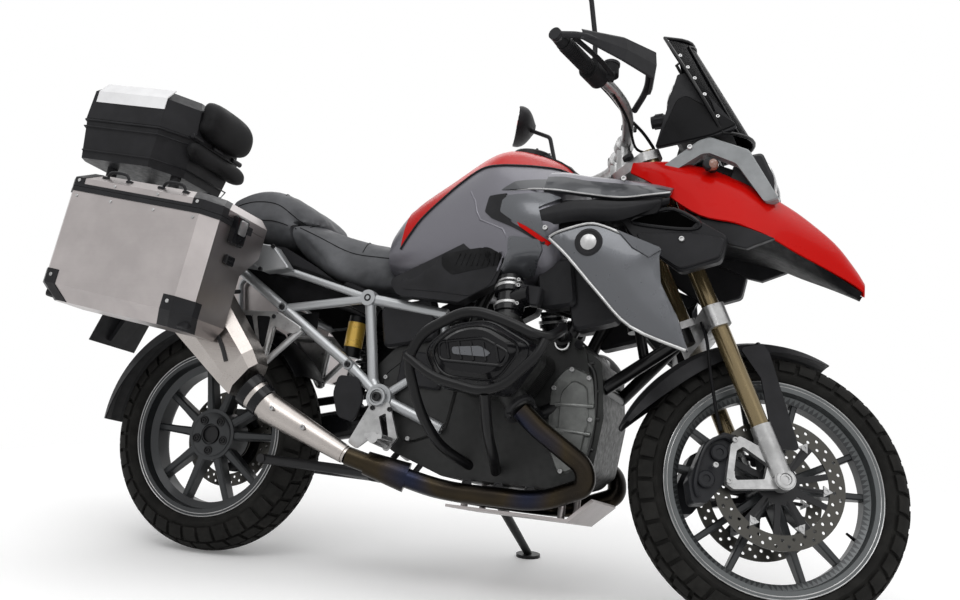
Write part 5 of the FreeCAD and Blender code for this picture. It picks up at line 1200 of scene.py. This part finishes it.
def make_rear():
    can = surface("silencer")
    form("silencer_inlay", "dark_steel", *[(tube, over(can, line, 0.8), 6.0, 8, 4) for line in INLAY_LINES],
         both=False)
    form("silencer_collar", "black_cover", both=False, *[
        (lathe, COLLAR_ENDS[0].lerp(COLLAR_ENDS[1], share), COLLAR_WAY,
         [(-14, radius - 8), (-12, radius), (12, radius - 2), (14, radius - 9)], 40)
        for share, radius in ((0.0, 49.0), (0.5, 45.0))])
    form("silencer_trim", "silver_alloy", (bolt, (400, -246, 28), (0.1, -1, 0.1), 7.0),
         (bolt, (312, -262, 68), (0.1, -1, 0.1), 6.0),
         (tube, [(36, -296, 456), (28, -300, 420), (6, -300, 330), (-6, -294, 270)], 2.4, 6, 3), both=False)
    form("frame_rings", "silver_frame", *[
        (lathe, centre, RIGHT, [(-10, radius), (10, radius), (13, radius - 2), (13, radius * 0.72), (8, radius * 0.66),
                                (8, 1)], 36) for centre, radius in (
            ((492, -148, 388), 22), ((563, -170, 129), 25), ((51, -152, 475), 14), ((242, -156, 351), 14),
            ((461, -154, 208), 14))])
    form("frame_screws", "dark_steel", *[
        (bolt, (x, y, z), RIGHT, radius) for x, y, z, radius in (
            (492, -158, 388, 11), (563, -180, 129, 12), (51, -162, 475, 7), (242, -166, 351, 7), (461, -164, 208, 7),
            (206, -200, 511, 6), (177, -200, 447, 6), (102, -178, 322, 6), (229, -178, 322, 6), (211, -182, 190, 6),
            (600, -173, 100, 6), (552, -173, 100, 6))])
    form("grab_handles", "silver_frame",
         (prism, [(126, 523), (206, 515), (262, 453), (182, 441), (112, 484)], -198, -157, 4.0, 8), sharp=28.0)
    form("heel_plates", "black_plastic",
         (prism, [(440, 180), (500, 176), (520, 120), (500, 60), (452, 70), (430, 130)], -168, -160, 2.0, 14))
    form("pillion_plates", "silver_alloy",
         (prism, [(92, 336), (240, 336), (318, 296), (300, 276), (232, 300), (222, 180), (200, 178), (120, 296)],
          -178, -168, 3.0, 10), sharp=30.0)
    form("pillion_plate_windows", "hose_rubber", *[
        (prism, outline, -179.5, -176, 0.8, 6) for outline in (
            [(116, 322), (160, 322), (190, 240)], [(176, 322), (218, 322), (212, 238), (200, 236)])])
    form("peg_ribs", "grip_rubber", *[(slab, (600, -190 - index * 9, 24), (42, 3.0, 7), 0, 1) for index in range(7)])
    form("shock_sleeve", "gold_body", (rod, (422, -70, 268), (426.5, -70, 336), 24.9, 32, 1.0), both=False)
    form("tail_lens", "red_lens", (slab, (-190, 0, 594), (6, 118, 38), 0, 3), both=False)
    form("rear_indicator_lenses", "lamp_lens",
         (lathe, (-312, -143, 442), (-1, 0, 0), [(-2, 17), (6, 16), (10, 12), (12, 2)], 28))


# Wheels
RIM_SHADE_RADIUS, DISC_SHADE_RADIUS = 222.0, 113.0
RIMS = (("front", FRONT_AXLE, 256.0, 44.0, 112), ("rear", REAR_AXLE_MM, 231.0, 64.0, 200))
DISC_FACE = 76.2


def from_front_axle(place):
    return math.hypot(place.x - FRONT_AXLE.x, place.z - FRONT_AXLE.z)


def bobbin(mesh, turn, side):
    """Button between the disc and its carrier."""
    out, around = round_axle(Vector(), turn, 1), round_axle(Vector(), turn + math.pi / 2, 1)
    middle = FRONT_AXLE + out * 108 + Vector((0, side * DISC_FACE, 0))
    corners = [middle - around * 13 - out * 6, middle + around * 13 - out * 6, middle + out * 15]
    bridge(mesh, [[point + Vector((0, side * shift, 0)) for point in corners] for shift in (-5.6, 1.8)])
    lathe(mesh, middle + Vector((0, side * 1.6, 0)), (0, side, 0),
          [(0, 7), (2.4, 7), (2.4, 4), (0.6, 3.6), (0.6, 0.6)], 20)


def make_wheels():
    shade_where("front_wheel", "front_wheel", "rim_grey", lambda place: from_front_axle(place) > RIM_SHADE_RADIUS)
    shade_where("front_discs", "front_wheel", "dark_steel", lambda place: from_front_axle(place) < DISC_SHADE_RADIUS)
    for name, centre, flange, half, angle in RIMS:
        body = name + "_wheel"
        form(name + "_rim_lines", "silver_alloy", both=False, body=body, *[
            (loop, [round_axle(centre, turn, radius, side * along) for turn in turns(96)], thick, 6)
            for side in (-1, 1)
            for radius, along, thick in ((flange - 1, half - 0.6, 1.6), (flange - 9, half - 0.4, 1.3))])
        turn = math.radians(angle)
        form(name + "_valve", "hose_rubber",
             (rod, round_axle(centre, turn, flange - 30), round_axle(centre, turn, flange - 62, -14), 4.5, 12, 0, 3.0),
             both=False, body=body)
    form("rear_hub_face", "wheel_paint",
         (lathe, (0, -38, 0), RIGHT, [(-4, 62), (2, 62), (5, 58), (5, 30), (-12, 26), (-12, 24)], 60),
         both=False, body="rear_wheel")
    nuts = []
    for turn in turns(5, 0.5):
        centre = round_axle(REAR_AXLE_MM, turn, 46, -43)
        nuts += [(lathe, centre, RIGHT, [(-1, 13), (3, 13), (4, 11.5), (4, 9.5), (-3, 9), (-3, 1)], 28),
                 (bolt, centre - RIGHT, RIGHT, 7.0, 5.0)]
    form("rear_wheel_bolts", "dark_steel", *nuts,
         (lathe, (0, -42, 0), RIGHT, [(-2, 26), (4, 26), (5, 23), (-8, 20), (-8, 1)], 40),
         both=False, body="rear_wheel")
    spots = [(side, turn) for side in (-1, 1) for turn in turns(6, 0.5)]
    form("disc_bobbins", "silver_alloy", *[(bobbin, turn, side) for side, turn in spots],
         both=False, body="front_wheel")
    form("disc_carrier_arms", "dark_steel", both=False, body="front_wheel", *[
        (tube, [round_axle(FRONT_AXLE, turn, radius, side * 73.5) for radius in (44, 106)], 4.6, 6)
        for side, turn in spots])


# Front end
FORK_SIDE = 105.0
STEER_ALONG = Vector((-math.cos(HEAD_ANGLE), 0, math.sin(HEAD_ANGLE)))
STEER_FORWARD = Vector((math.sin(HEAD_ANGLE), 0, math.cos(HEAD_ANGLE)))
STEER_FOOT = FRONT_AXLE - STEER_FORWARD * (FRONT_RADIUS * math.cos(HEAD_ANGLE) - TRAIL * math.sin(HEAD_ANGLE))


def make_front():
    caps, calipers, pins = [], [], []
    for side in (-1, 1):
        out = (0, side, 0)
        caps.append((lathe, FRONT_AXLE + Vector((0, side * 122, 0)), out,
                     [(-1, 22), (3, 22), (5, 20), (5, 14), (-3, 12), (-3, 9)], 40))
        caps += [(bolt, (x, side * 112, z), out, 6.0) for x, z in ((1478, 62), (1498, 50))]
        calipers += [(lathe, (x, side * 92, z), out, [(0, 20), (8, 20), (11, 17), (11, 9), (8, 8), (8, 1)], 32)
                     for x, z in ((1362, 52), (1336, -14))]
        pipe = ((1388, 96, 86), (1366, 100, 90), (1330, 100, 60), (1312, 98, -20), (1322, 96, -56))
        calipers.append((tube, [(x, side * y, z) for x, y, z in pipe], 5.0, 8, 4))
        pins += [(bolt, (x, side * 111, z), out, 6.5) for x, z in ((1392, 84), (1384, -14), (1352, 18))]
    form("axle_caps", "silver_alloy", *caps, both=False, body="steering")
    form("caliper_pistons", "caliper_black", *calipers, both=False, body="steering")
    form("caliper_screws", "silver_alloy", *pins, both=False, body="steering")


GUARD_SIDES = (-86, -60, 0, 60, 86)
GUARD_OUTER, GUARD_INNER = 337.0, 333.0
GUARD_FROM, GUARD_TURN, GUARD_STEPS = 33.0, 67.0, 20
GUARD_DROP = 14


def make_inner_panels():
    """Black panels inside the rear frame, partly side covers and partly painted shade (dark sheets where the frame's
    inside lies in shadow), and the guard ahead of the rear tyre.
    """
    panels = bmesh.new()
    prism(panels, [(10, 492), (150, 500), (300, 462), (478, 404), (488, 384), (250, 350), (60, 464)],
          -124, -118, 1.5, 8)
    prism(panels, [(250, 338), (330, 352), (330, 300), (300, 290)], -118, -112, 1.5, 8)
    mirror_left(panels)
    prism(panels, [(322, 352), (474, 372), (506, 250), (452, 214), (345, 280)], 84, 112, 4.0, 14)
    piece("inner_panels", "hose_rubber", panels, 30.0)
    rows = []
    flat, edge = GUARD_SIDES[-2:]
    for step in range(GUARD_STEPS + 1):
        turn = math.radians(GUARD_FROM + GUARD_TURN * step / GUARD_STEPS)
        ring = [(radius - GUARD_DROP * max(abs(y) - flat, 0) / (edge - flat), y) for radius, sides in (
            (GUARD_OUTER, GUARD_SIDES), (GUARD_INNER, GUARD_SIDES[::-1])) for y in sides]
        rows.append([(reach * math.cos(turn), y, reach * math.sin(turn)) for reach, y in ring])
    form("inner_guard", "hose_rubber", (bridge, rows), both=False, sharp=40.0)


KNOB_AXIS = (-1, 0, -0.17)
DIAL_AXIS = (-1, 0, 0.25)


def make_cockpit():
    form("cockpit_cheeks", "hose_rubber",
         (prism, [(1196, 808), (1240, 934), (1262, 944), (1392, 866), (1332, 838)], -116, -100, 3.0, 14), sharp=30.0)
    ridges = [Vector((1200, -64 + 17 * math.cos(turn), 897 + 17 * math.sin(turn))) for turn in turns(10)]
    form("screen_knob", "black_plastic",
         (lathe, (1206, -64, 898), KNOB_AXIS, [(0, 10), (2, 17), (22, 18), (30, 16), (33, 10), (33, 1)], 28),
         *[(rod, start, start + Vector((-20, 0, -3)), 2.6, 6) for start in ridges], both=False)
    form("dial_rings", "silver_alloy", both=False, *[
        (lathe, (1222, y, 958), DIAL_AXIS,
         [(-6, radius + 4), (4, radius + 4), (6, radius), (2, radius - 4), (2, 1)], 40)
        for y, radius in ((-54, 38), (40, 30))])
    form("dial_faces", "lamp_glass", *[
        (lathe, (1219, y, 959), DIAL_AXIS, [(0, radius), (1.5, radius), (1.5, 1)], 36)
        for y, radius in ((-54, 35), (40, 27))], (slab, (1221, 0, 990), (4, 60, 16), -14, 1), both=False)


BAR_CENTRE = Vector((1084, 0, 838))
BAR_ROUTE = [(0, 0, 0), (0, 88, 0), (-22, 182, 20), (-78, 262, 24), (-136, 322, 20), (-224, 432, 14)]
GRIP_RIBS, GRIP_PITCH = 16, 6.4
MIRROR_SHIFT = (-112, -94, 262)
GRIP_RIB = ((0, 17.6), (1.0, 19.4), (3.4, 19.4), (4.4, 17.6))


def bar_point(index, side, shift=(0, 0, 0)):
    """Point of the handlebar's route, moved forward, inward and up by a shift."""
    x, y, z = (a + b for a, b in zip(BAR_ROUTE[index], (shift[0], -shift[1], shift[2])))
    return BAR_CENTRE + Vector((x, side * y, z))


def make_controls():
    ribs, rings, keys, cables, glasses = [], [], [], [], []
    for side in (-1, 1):
        inner, end = bar_point(4, side), bar_point(5, side)
        along = (end - inner).normalized()
        ribs += [(lathe, inner + along * (26 + index * GRIP_PITCH), along, GRIP_RIB, 24)
                 for index in range(GRIP_RIBS)]
        rings.append((lathe, end + along * 24, along,
                      [(-4, 15), (2, 15), (4, 13), (4, 8), (0, 7), (0, 4), (3, 3.4), (3, 0.6)], 32))
        centre = inner - along * 8
        keys += [(slab, centre + along * depth + Vector((-14, 0, 16)), (22, 16, 12), 20, 3) for depth in (-18, 4, 14)]
        rings += [(bolt, centre + along * depth + Vector((18, -side * 4, 16)), (0.7, 0, 0.7), 4.0)
                  for depth in (-20, 12)]
        keys.append((lathe, inner - along * 34 + Vector((25, 0, 44)), (0, 0, 1),
                     [(-3, 20.5), (4, 20.5), (6, 18), (6, 1)], 32))
        cables.append((tube, [bar_point(3, side, (6, 4, -16)), bar_point(2, side, (4, 14, -19)),
                              bar_point(1, side, (20, 0, -24)), (1136, side * 70, 812)], 3.4, 8, 6))
        head = bar_point(4, side, MIRROR_SHIFT)
        ring = [head + Vector((-14.8, math.cos(turn) * 77, math.sin(turn) * 46)) for turn in turns(40)]
        glasses.append((bridge, [ring, [point + Vector((-0.9, 0, 0)) for point in ring]]))
    for name, finish, strokes in (
            ("grip_ribs", "grip_rubber", ribs), ("bar_end_rings", "silver_alloy", rings),
            ("switch_keys", "black_plastic", keys), ("bar_cables", "hose_rubber", cables),
            ("mirror_glasses", "mirror", glasses)):
        form(name, finish, *strokes, both=False, body="steering")
    clamps = [(bolt, BAR_CENTRE + Vector((shift, y, 25)), (0, 0, 1), 5.0, 8.0) for y in (-88, 88)
              for shift in (-15, 15)]
    caps = [(bolt, STEER_FOOT + Vector((0, left, 0)) + STEER_ALONG * up, STEER_ALONG, radius, height)
            for left, up, radius, height in ((0, 874, 15, 7), (-FORK_SIDE, 868, 14, 6), (FORK_SIDE, 868, 14, 6))]
    form("yoke_bolts", "dark_steel", *clamps, *caps, both=False, body="steering")


# Luggage
PANNIER = Matrix.Translation((-62, 0, 405)) @ Matrix.Rotation(math.radians(8.5), 4, "Y")
TOP_CASE = Matrix.Translation((-545, 0, 781)) @ Matrix.Rotation(math.radians(7.0), 4, "Y")
TO_LEFT = Matrix.Scale(-1, 4, (0, 1, 0))
CASE_HALF, CASE_HIGH, CASE_CUT, CASE_OUT = 206.0, 151.5, 38.0, 500.0
CASE_FRONT = CASE_HALF + CASE_CUT
HOOP_REACH = 150.0
LID_BASE = CASE_HIGH + 1.0
LID_BAND, LID_RISE, LID_BEVEL = 24.0, 24.0, 40.0
HINGE_ROOM = 7.0
LOOP_ARCH = ((-38, 0, -4), (-30, -3, 12), (-16, -4, 17), (16, -4, 17), (30, -3, 12), (38, 0, -4))
TOP_HALF = 203.0
TOP_RING = ((-2, 44 - TOP_HALF), (20, -TOP_HALF), (298, -TOP_HALF), (370, 88 - TOP_HALF),
            (370, TOP_HALF - 88), (298, TOP_HALF), (20, TOP_HALF), (-2, TOP_HALF - 44))
STRIP_PROFILE = ((200.4, 174), (202.8, 174), (201.8, 209), (171.6, 243.4), (168.4, 241.6), (199.4, 207.4))


def corner_cap(mesh, end, rows, face=32.0, wrap=26.0):
    """Black cap folded round an upright edge; rows are heights and how far the case has drawn in there."""
    rings = []
    for height, inset in rows:
        x, y = CASE_HALF - 0.6 * inset, CASE_OUT - inset
        outer = [(x - face, y + 3), (x + 1, y + 3), (x + CASE_CUT + 3, y - CASE_CUT + 1),
                 (x + CASE_CUT + 3, y - CASE_CUT - wrap)]
        ring = outer + [(a - 4, b - 4) for a, b in outer[::-1]]
        rings.append([(a * end, -b, height) for a, b in ring])
    bridge(mesh, rings)


def hoop(mesh, low, high, hinged=False, lift=3.2):
    """Black edging round the outside of a case, between two heights. A hinged one stops ahead of the rear face."""
    outer = [(CASE_FRONT + lift, CASE_CUT + HOOP_REACH), (CASE_FRONT + lift, CASE_CUT - 0.4 * lift),
             (CASE_HALF + 0.4 * lift, -lift)]
    inner = [(CASE_FRONT - 1, CASE_CUT + HOOP_REACH), (CASE_FRONT - 1, CASE_CUT + 0.4), (CASE_HALF - 0.4, 1)]
    rear = [(-x, y) for x, y in outer[::-1] + inner]
    if hinged:
        back = HINGE_ROOM - CASE_FRONT
        rear = [rear[0], (back, CASE_CUT - HINGE_ROOM - 1.4 * lift), (back, CASE_CUT - HINGE_ROOM + 1.4), rear[-1]]
    ring = outer + rear + inner[::-1]
    bridge(mesh, [[(x, y - CASE_OUT, height) for x, y in ring] for height in (low, high)])


def case_spot(x, out, z):
    """Place on a pannier by its distances along, out from its side face and up."""
    return (x, -CASE_OUT - out, z)


def make_lid(word, place):
    blacks = [(hoop, LID_BASE, LID_BASE + 8, True)]
    for end, low in ((-1, LID_BASE + HINGE_ROOM), (1, LID_BASE)):
        rows = ((low, 0), (LID_BASE + LID_BAND, 0), (LID_BASE + LID_BAND + LID_RISE, LID_BEVEL))
        blacks.append((corner_cap, end, rows, 27.0))
    feet = [x + end for x in (-92, 92) for end in (-40, 40)]
    blacks += [(slab, case_spot(x, -26, LID_BASE + 38), (20, 16, 9), 0, 2) for x in feet]
    rivets = [(rivet, case_spot(end * (CASE_HALF - 13), 3, LID_BASE + 16), RIGHT, 4.5, 2.6) for end in (-1, 1)]
    rivets += [(rivet, case_spot(x, -26, LID_BASE + 43), (0, 0, 1), 3.4, 2.0) for x in feet]
    rivets += [(rivet, case_spot(x, 0, LID_BASE + 16), RIGHT, 4.0, 2.0) for x in (-75, 65)]
    loops = [(tube, [Vector(case_spot(x, -26, LID_BASE + 40)) + Vector(point) for point in LOOP_ARCH], 4.2, 10, 4)
             for x in (-92, 92)]
    for name, finish, strokes, sharp in (("corners", "black_plastic", blacks, 30.0),
                                         ("rivets", "silver_alloy", rivets, 38.0),
                                         ("loops", "black_plastic", loops, 38.0)):
        form("lid_" + name + "_" + word, finish, *strokes, both=False, place=place, sharp=sharp,
             body="pannier_lid_" + word)


def make_panniers():
    blacks = []
    for end in (-1, 1):
        rows = ((-CASE_HIGH, CASE_CUT), (-CASE_HIGH + CASE_CUT, 0), (-CASE_HIGH + 76, 0))
        blacks += [(corner_cap, end, rows),
                   (slab, case_spot(end * (CASE_HALF + 8), -54, -CASE_HIGH + 16), (44, 26, 22), 0, 6)]
    form("case_corners", "black_plastic", *blacks, place=PANNIER, sharp=30.0)
    form("case_rivets", "silver_alloy", *[
        (rivet, case_spot(end * (CASE_HALF - 15), 3, -CASE_HIGH + 60), RIGHT, 5.0, 3.0) for end in (-1, 1)
    ], *[
        (rivet, case_spot(x, 0, CASE_HIGH - 24), RIGHT, 4.2, 2.2) for x in (-190, -75, 65, 190)
    ], (slab, case_spot(CASE_FRONT + 19, -120, CASE_HIGH - 8), (7, 30, 38), 0, 3), place=PANNIER)
    form("case_seams", "black_plastic", (hoop, CASE_HIGH - 12, CASE_HIGH), place=PANNIER, sharp=30.0)
    form("case_latches", "black_cover",
         (slab, case_spot(CASE_FRONT + 8, -120, CASE_HIGH - 18), (18, 56, 76), 0, 4),
         (slab, case_spot(CASE_FRONT + 5, -120, CASE_HIGH - 96), (12, 40, 26), 0, 4), place=PANNIER, sharp=30.0)
    make_lid("right", PANNIER)
    make_lid("left", TO_LEFT @ PANNIER)


def make_top_case():
    form("top_case_strips", "strip_silver", *[
        (bridge, [[(x, side * y, z) for y, z in STRIP_PROFILE] for x in (40, 296)]) for side in (-1, 1)
    ], both=False, place=TOP_CASE, sharp=30.0, body="top_case_lid")
    form("top_case_hinges", "black_plastic", both=False, place=TOP_CASE, *[
        (rod, (369, y - 26, 124), (369, y + 26, 124), 8.0, 20, 2) for y in (-110, 0, 110)])
    form("top_case_latch", "black_plastic", (slab, (3, 0, 96), (14, 90, 44), 0, 5), both=False, place=TOP_CASE,
         sharp=30.0)
    edges = [(loop, [(a, b, 116) for a, b in TOP_RING], 3.4)]
    for level, inset in ((96, 0.4), (24, 10.0)):
        drawn_in = [(a + (inset if a < 100 else -inset), b * (1 - inset / TOP_HALF), level) for a, b in TOP_RING]
        edges.append((loop, drawn_in, 2.2, 6))
    form("top_case_edges", "black_plastic", *edges, both=False, place=TOP_CASE)


for node, centre, sizes, pitches, rows in TYRES:
    add_tyre(node, centre, sizes, pitches, rows)
for make in (make_tank, make_sides, make_nose, make_headlamp, make_screen, make_seats, make_valve_covers, make_engine,
             make_rear, make_wheels, make_front, make_inner_panels, make_cockpit, make_controls, make_panniers,
             make_top_case):
    make()


# Floor and light
FLOOR_REACH = 14.0
FLOOR_FADE = (1.3, 2.6)
SUN_POWER, SUN_WIDTH, SUN_GLEAM = 1.1, math.radians(70.0), 0.3
SUN_TILT = (math.radians(-14.0), math.radians(10.0), 0.0)
WORLD_LIGHT = 0.5


def make_floor():
    """Pale floor that fades into plain white away from the machine."""
    mesh = bmesh.new()
    bmesh.ops.create_grid(mesh, x_segments=1, y_segments=1, size=FLOOR_REACH)
    data = bpy.data.meshes.new("floor")
    mesh.to_mesh(data)
    pale = Finish("floor", (0.96, 0.96, 0.96), 0.7, Emission_Color=(1.0, 1.0, 1.0, 1.0), Emission_Strength=0.12,
                  **{SPECULAR: 0.1})
    away = pale.node("ShaderNodeVectorMath", operation="LENGTH")
    pale.link(pale.node("ShaderNodeNewGeometry").outputs["Position"], away.inputs[0])
    blend = pale.node("ShaderNodeMixShader")
    pale.link(pale.span(away.outputs["Value"], *FLOOR_FADE), blend.inputs[0])
    pale.link(pale.shader.outputs["BSDF"], blend.inputs[1])
    pale.link(pale.node("ShaderNodeEmission").outputs["Emission"], blend.inputs[2])
    pale.link(blend.outputs["Shader"], pale.tree.nodes["Material Output"].inputs["Surface"])
    data.materials.append(pale.material)
    floor = add_object("floor", data)


def make_light(name, place, aim, size, power):
    data = bpy.data.lights.new(name, "AREA")
    data.shape = "RECTANGLE"
    data.size, data.size_y = size
    data.energy = power
    lamp = add_object(name, data)
    lamp.location = place
    lamp.rotation_euler = (Vector(aim) - Vector(place)).to_track_quat("-Z", "Y").to_euler()


def make_sun():
    """Wide sun that keeps the floor evenly pale."""
    data = bpy.data.lights.new("sun", "SUN")
    data.energy = SUN_POWER
    data.angle = SUN_WIDTH
    data.specular_factor = SUN_GLEAM
    add_object("sun", data).rotation_euler = SUN_TILT


def make_world():
    """White world, at half strength where it only lights."""
    world = bpy.data.worlds.new("studio")
    world.use_nodes = True
    tree = world.node_tree
    background = tree.nodes["Background"]
    background.inputs["Color"].default_value = (1.0, 1.0, 1.0, 1.0)
    path = tree.nodes.new("ShaderNodeLightPath")
    seen = path.outputs["Is Camera Ray"]
    for ray in ("Is Glossy Ray", "Is Transmission Ray"):
        either = tree.nodes.new("ShaderNodeMath")
        either.operation = "MAXIMUM"
        tree.links.new(seen, either.inputs[0])
        tree.links.new(path.outputs[ray], either.inputs[1])
        seen = either.outputs["Value"]
    strength = tree.nodes.new("ShaderNodeMapRange")
    strength.inputs["To Min"].default_value = WORLD_LIGHT
    strength.inputs["To Max"].default_value = 1.0
    tree.links.new(seen, strength.inputs["Value"])
    tree.links.new(strength.outputs["Result"], background.inputs["Strength"])
    bpy.context.scene.world = world
    bpy.context.scene.view_settings.view_transform = "Standard"


make_floor()
make_light("key", (0.4, -2.4, 3.8), (0.0, 0.0, 0.5), (3.4, 1.8), 62.0)
make_light("fill", (3.0, -2.0, 1.6), (0.3, 0.0, 0.6), (1.6, 2.2), 8.0)
make_light("back", (-1.5, 3.0, 3.0), (0.0, 0.0, 0.7), (3.0, 1.4), 16.0)
make_sun()
make_world()
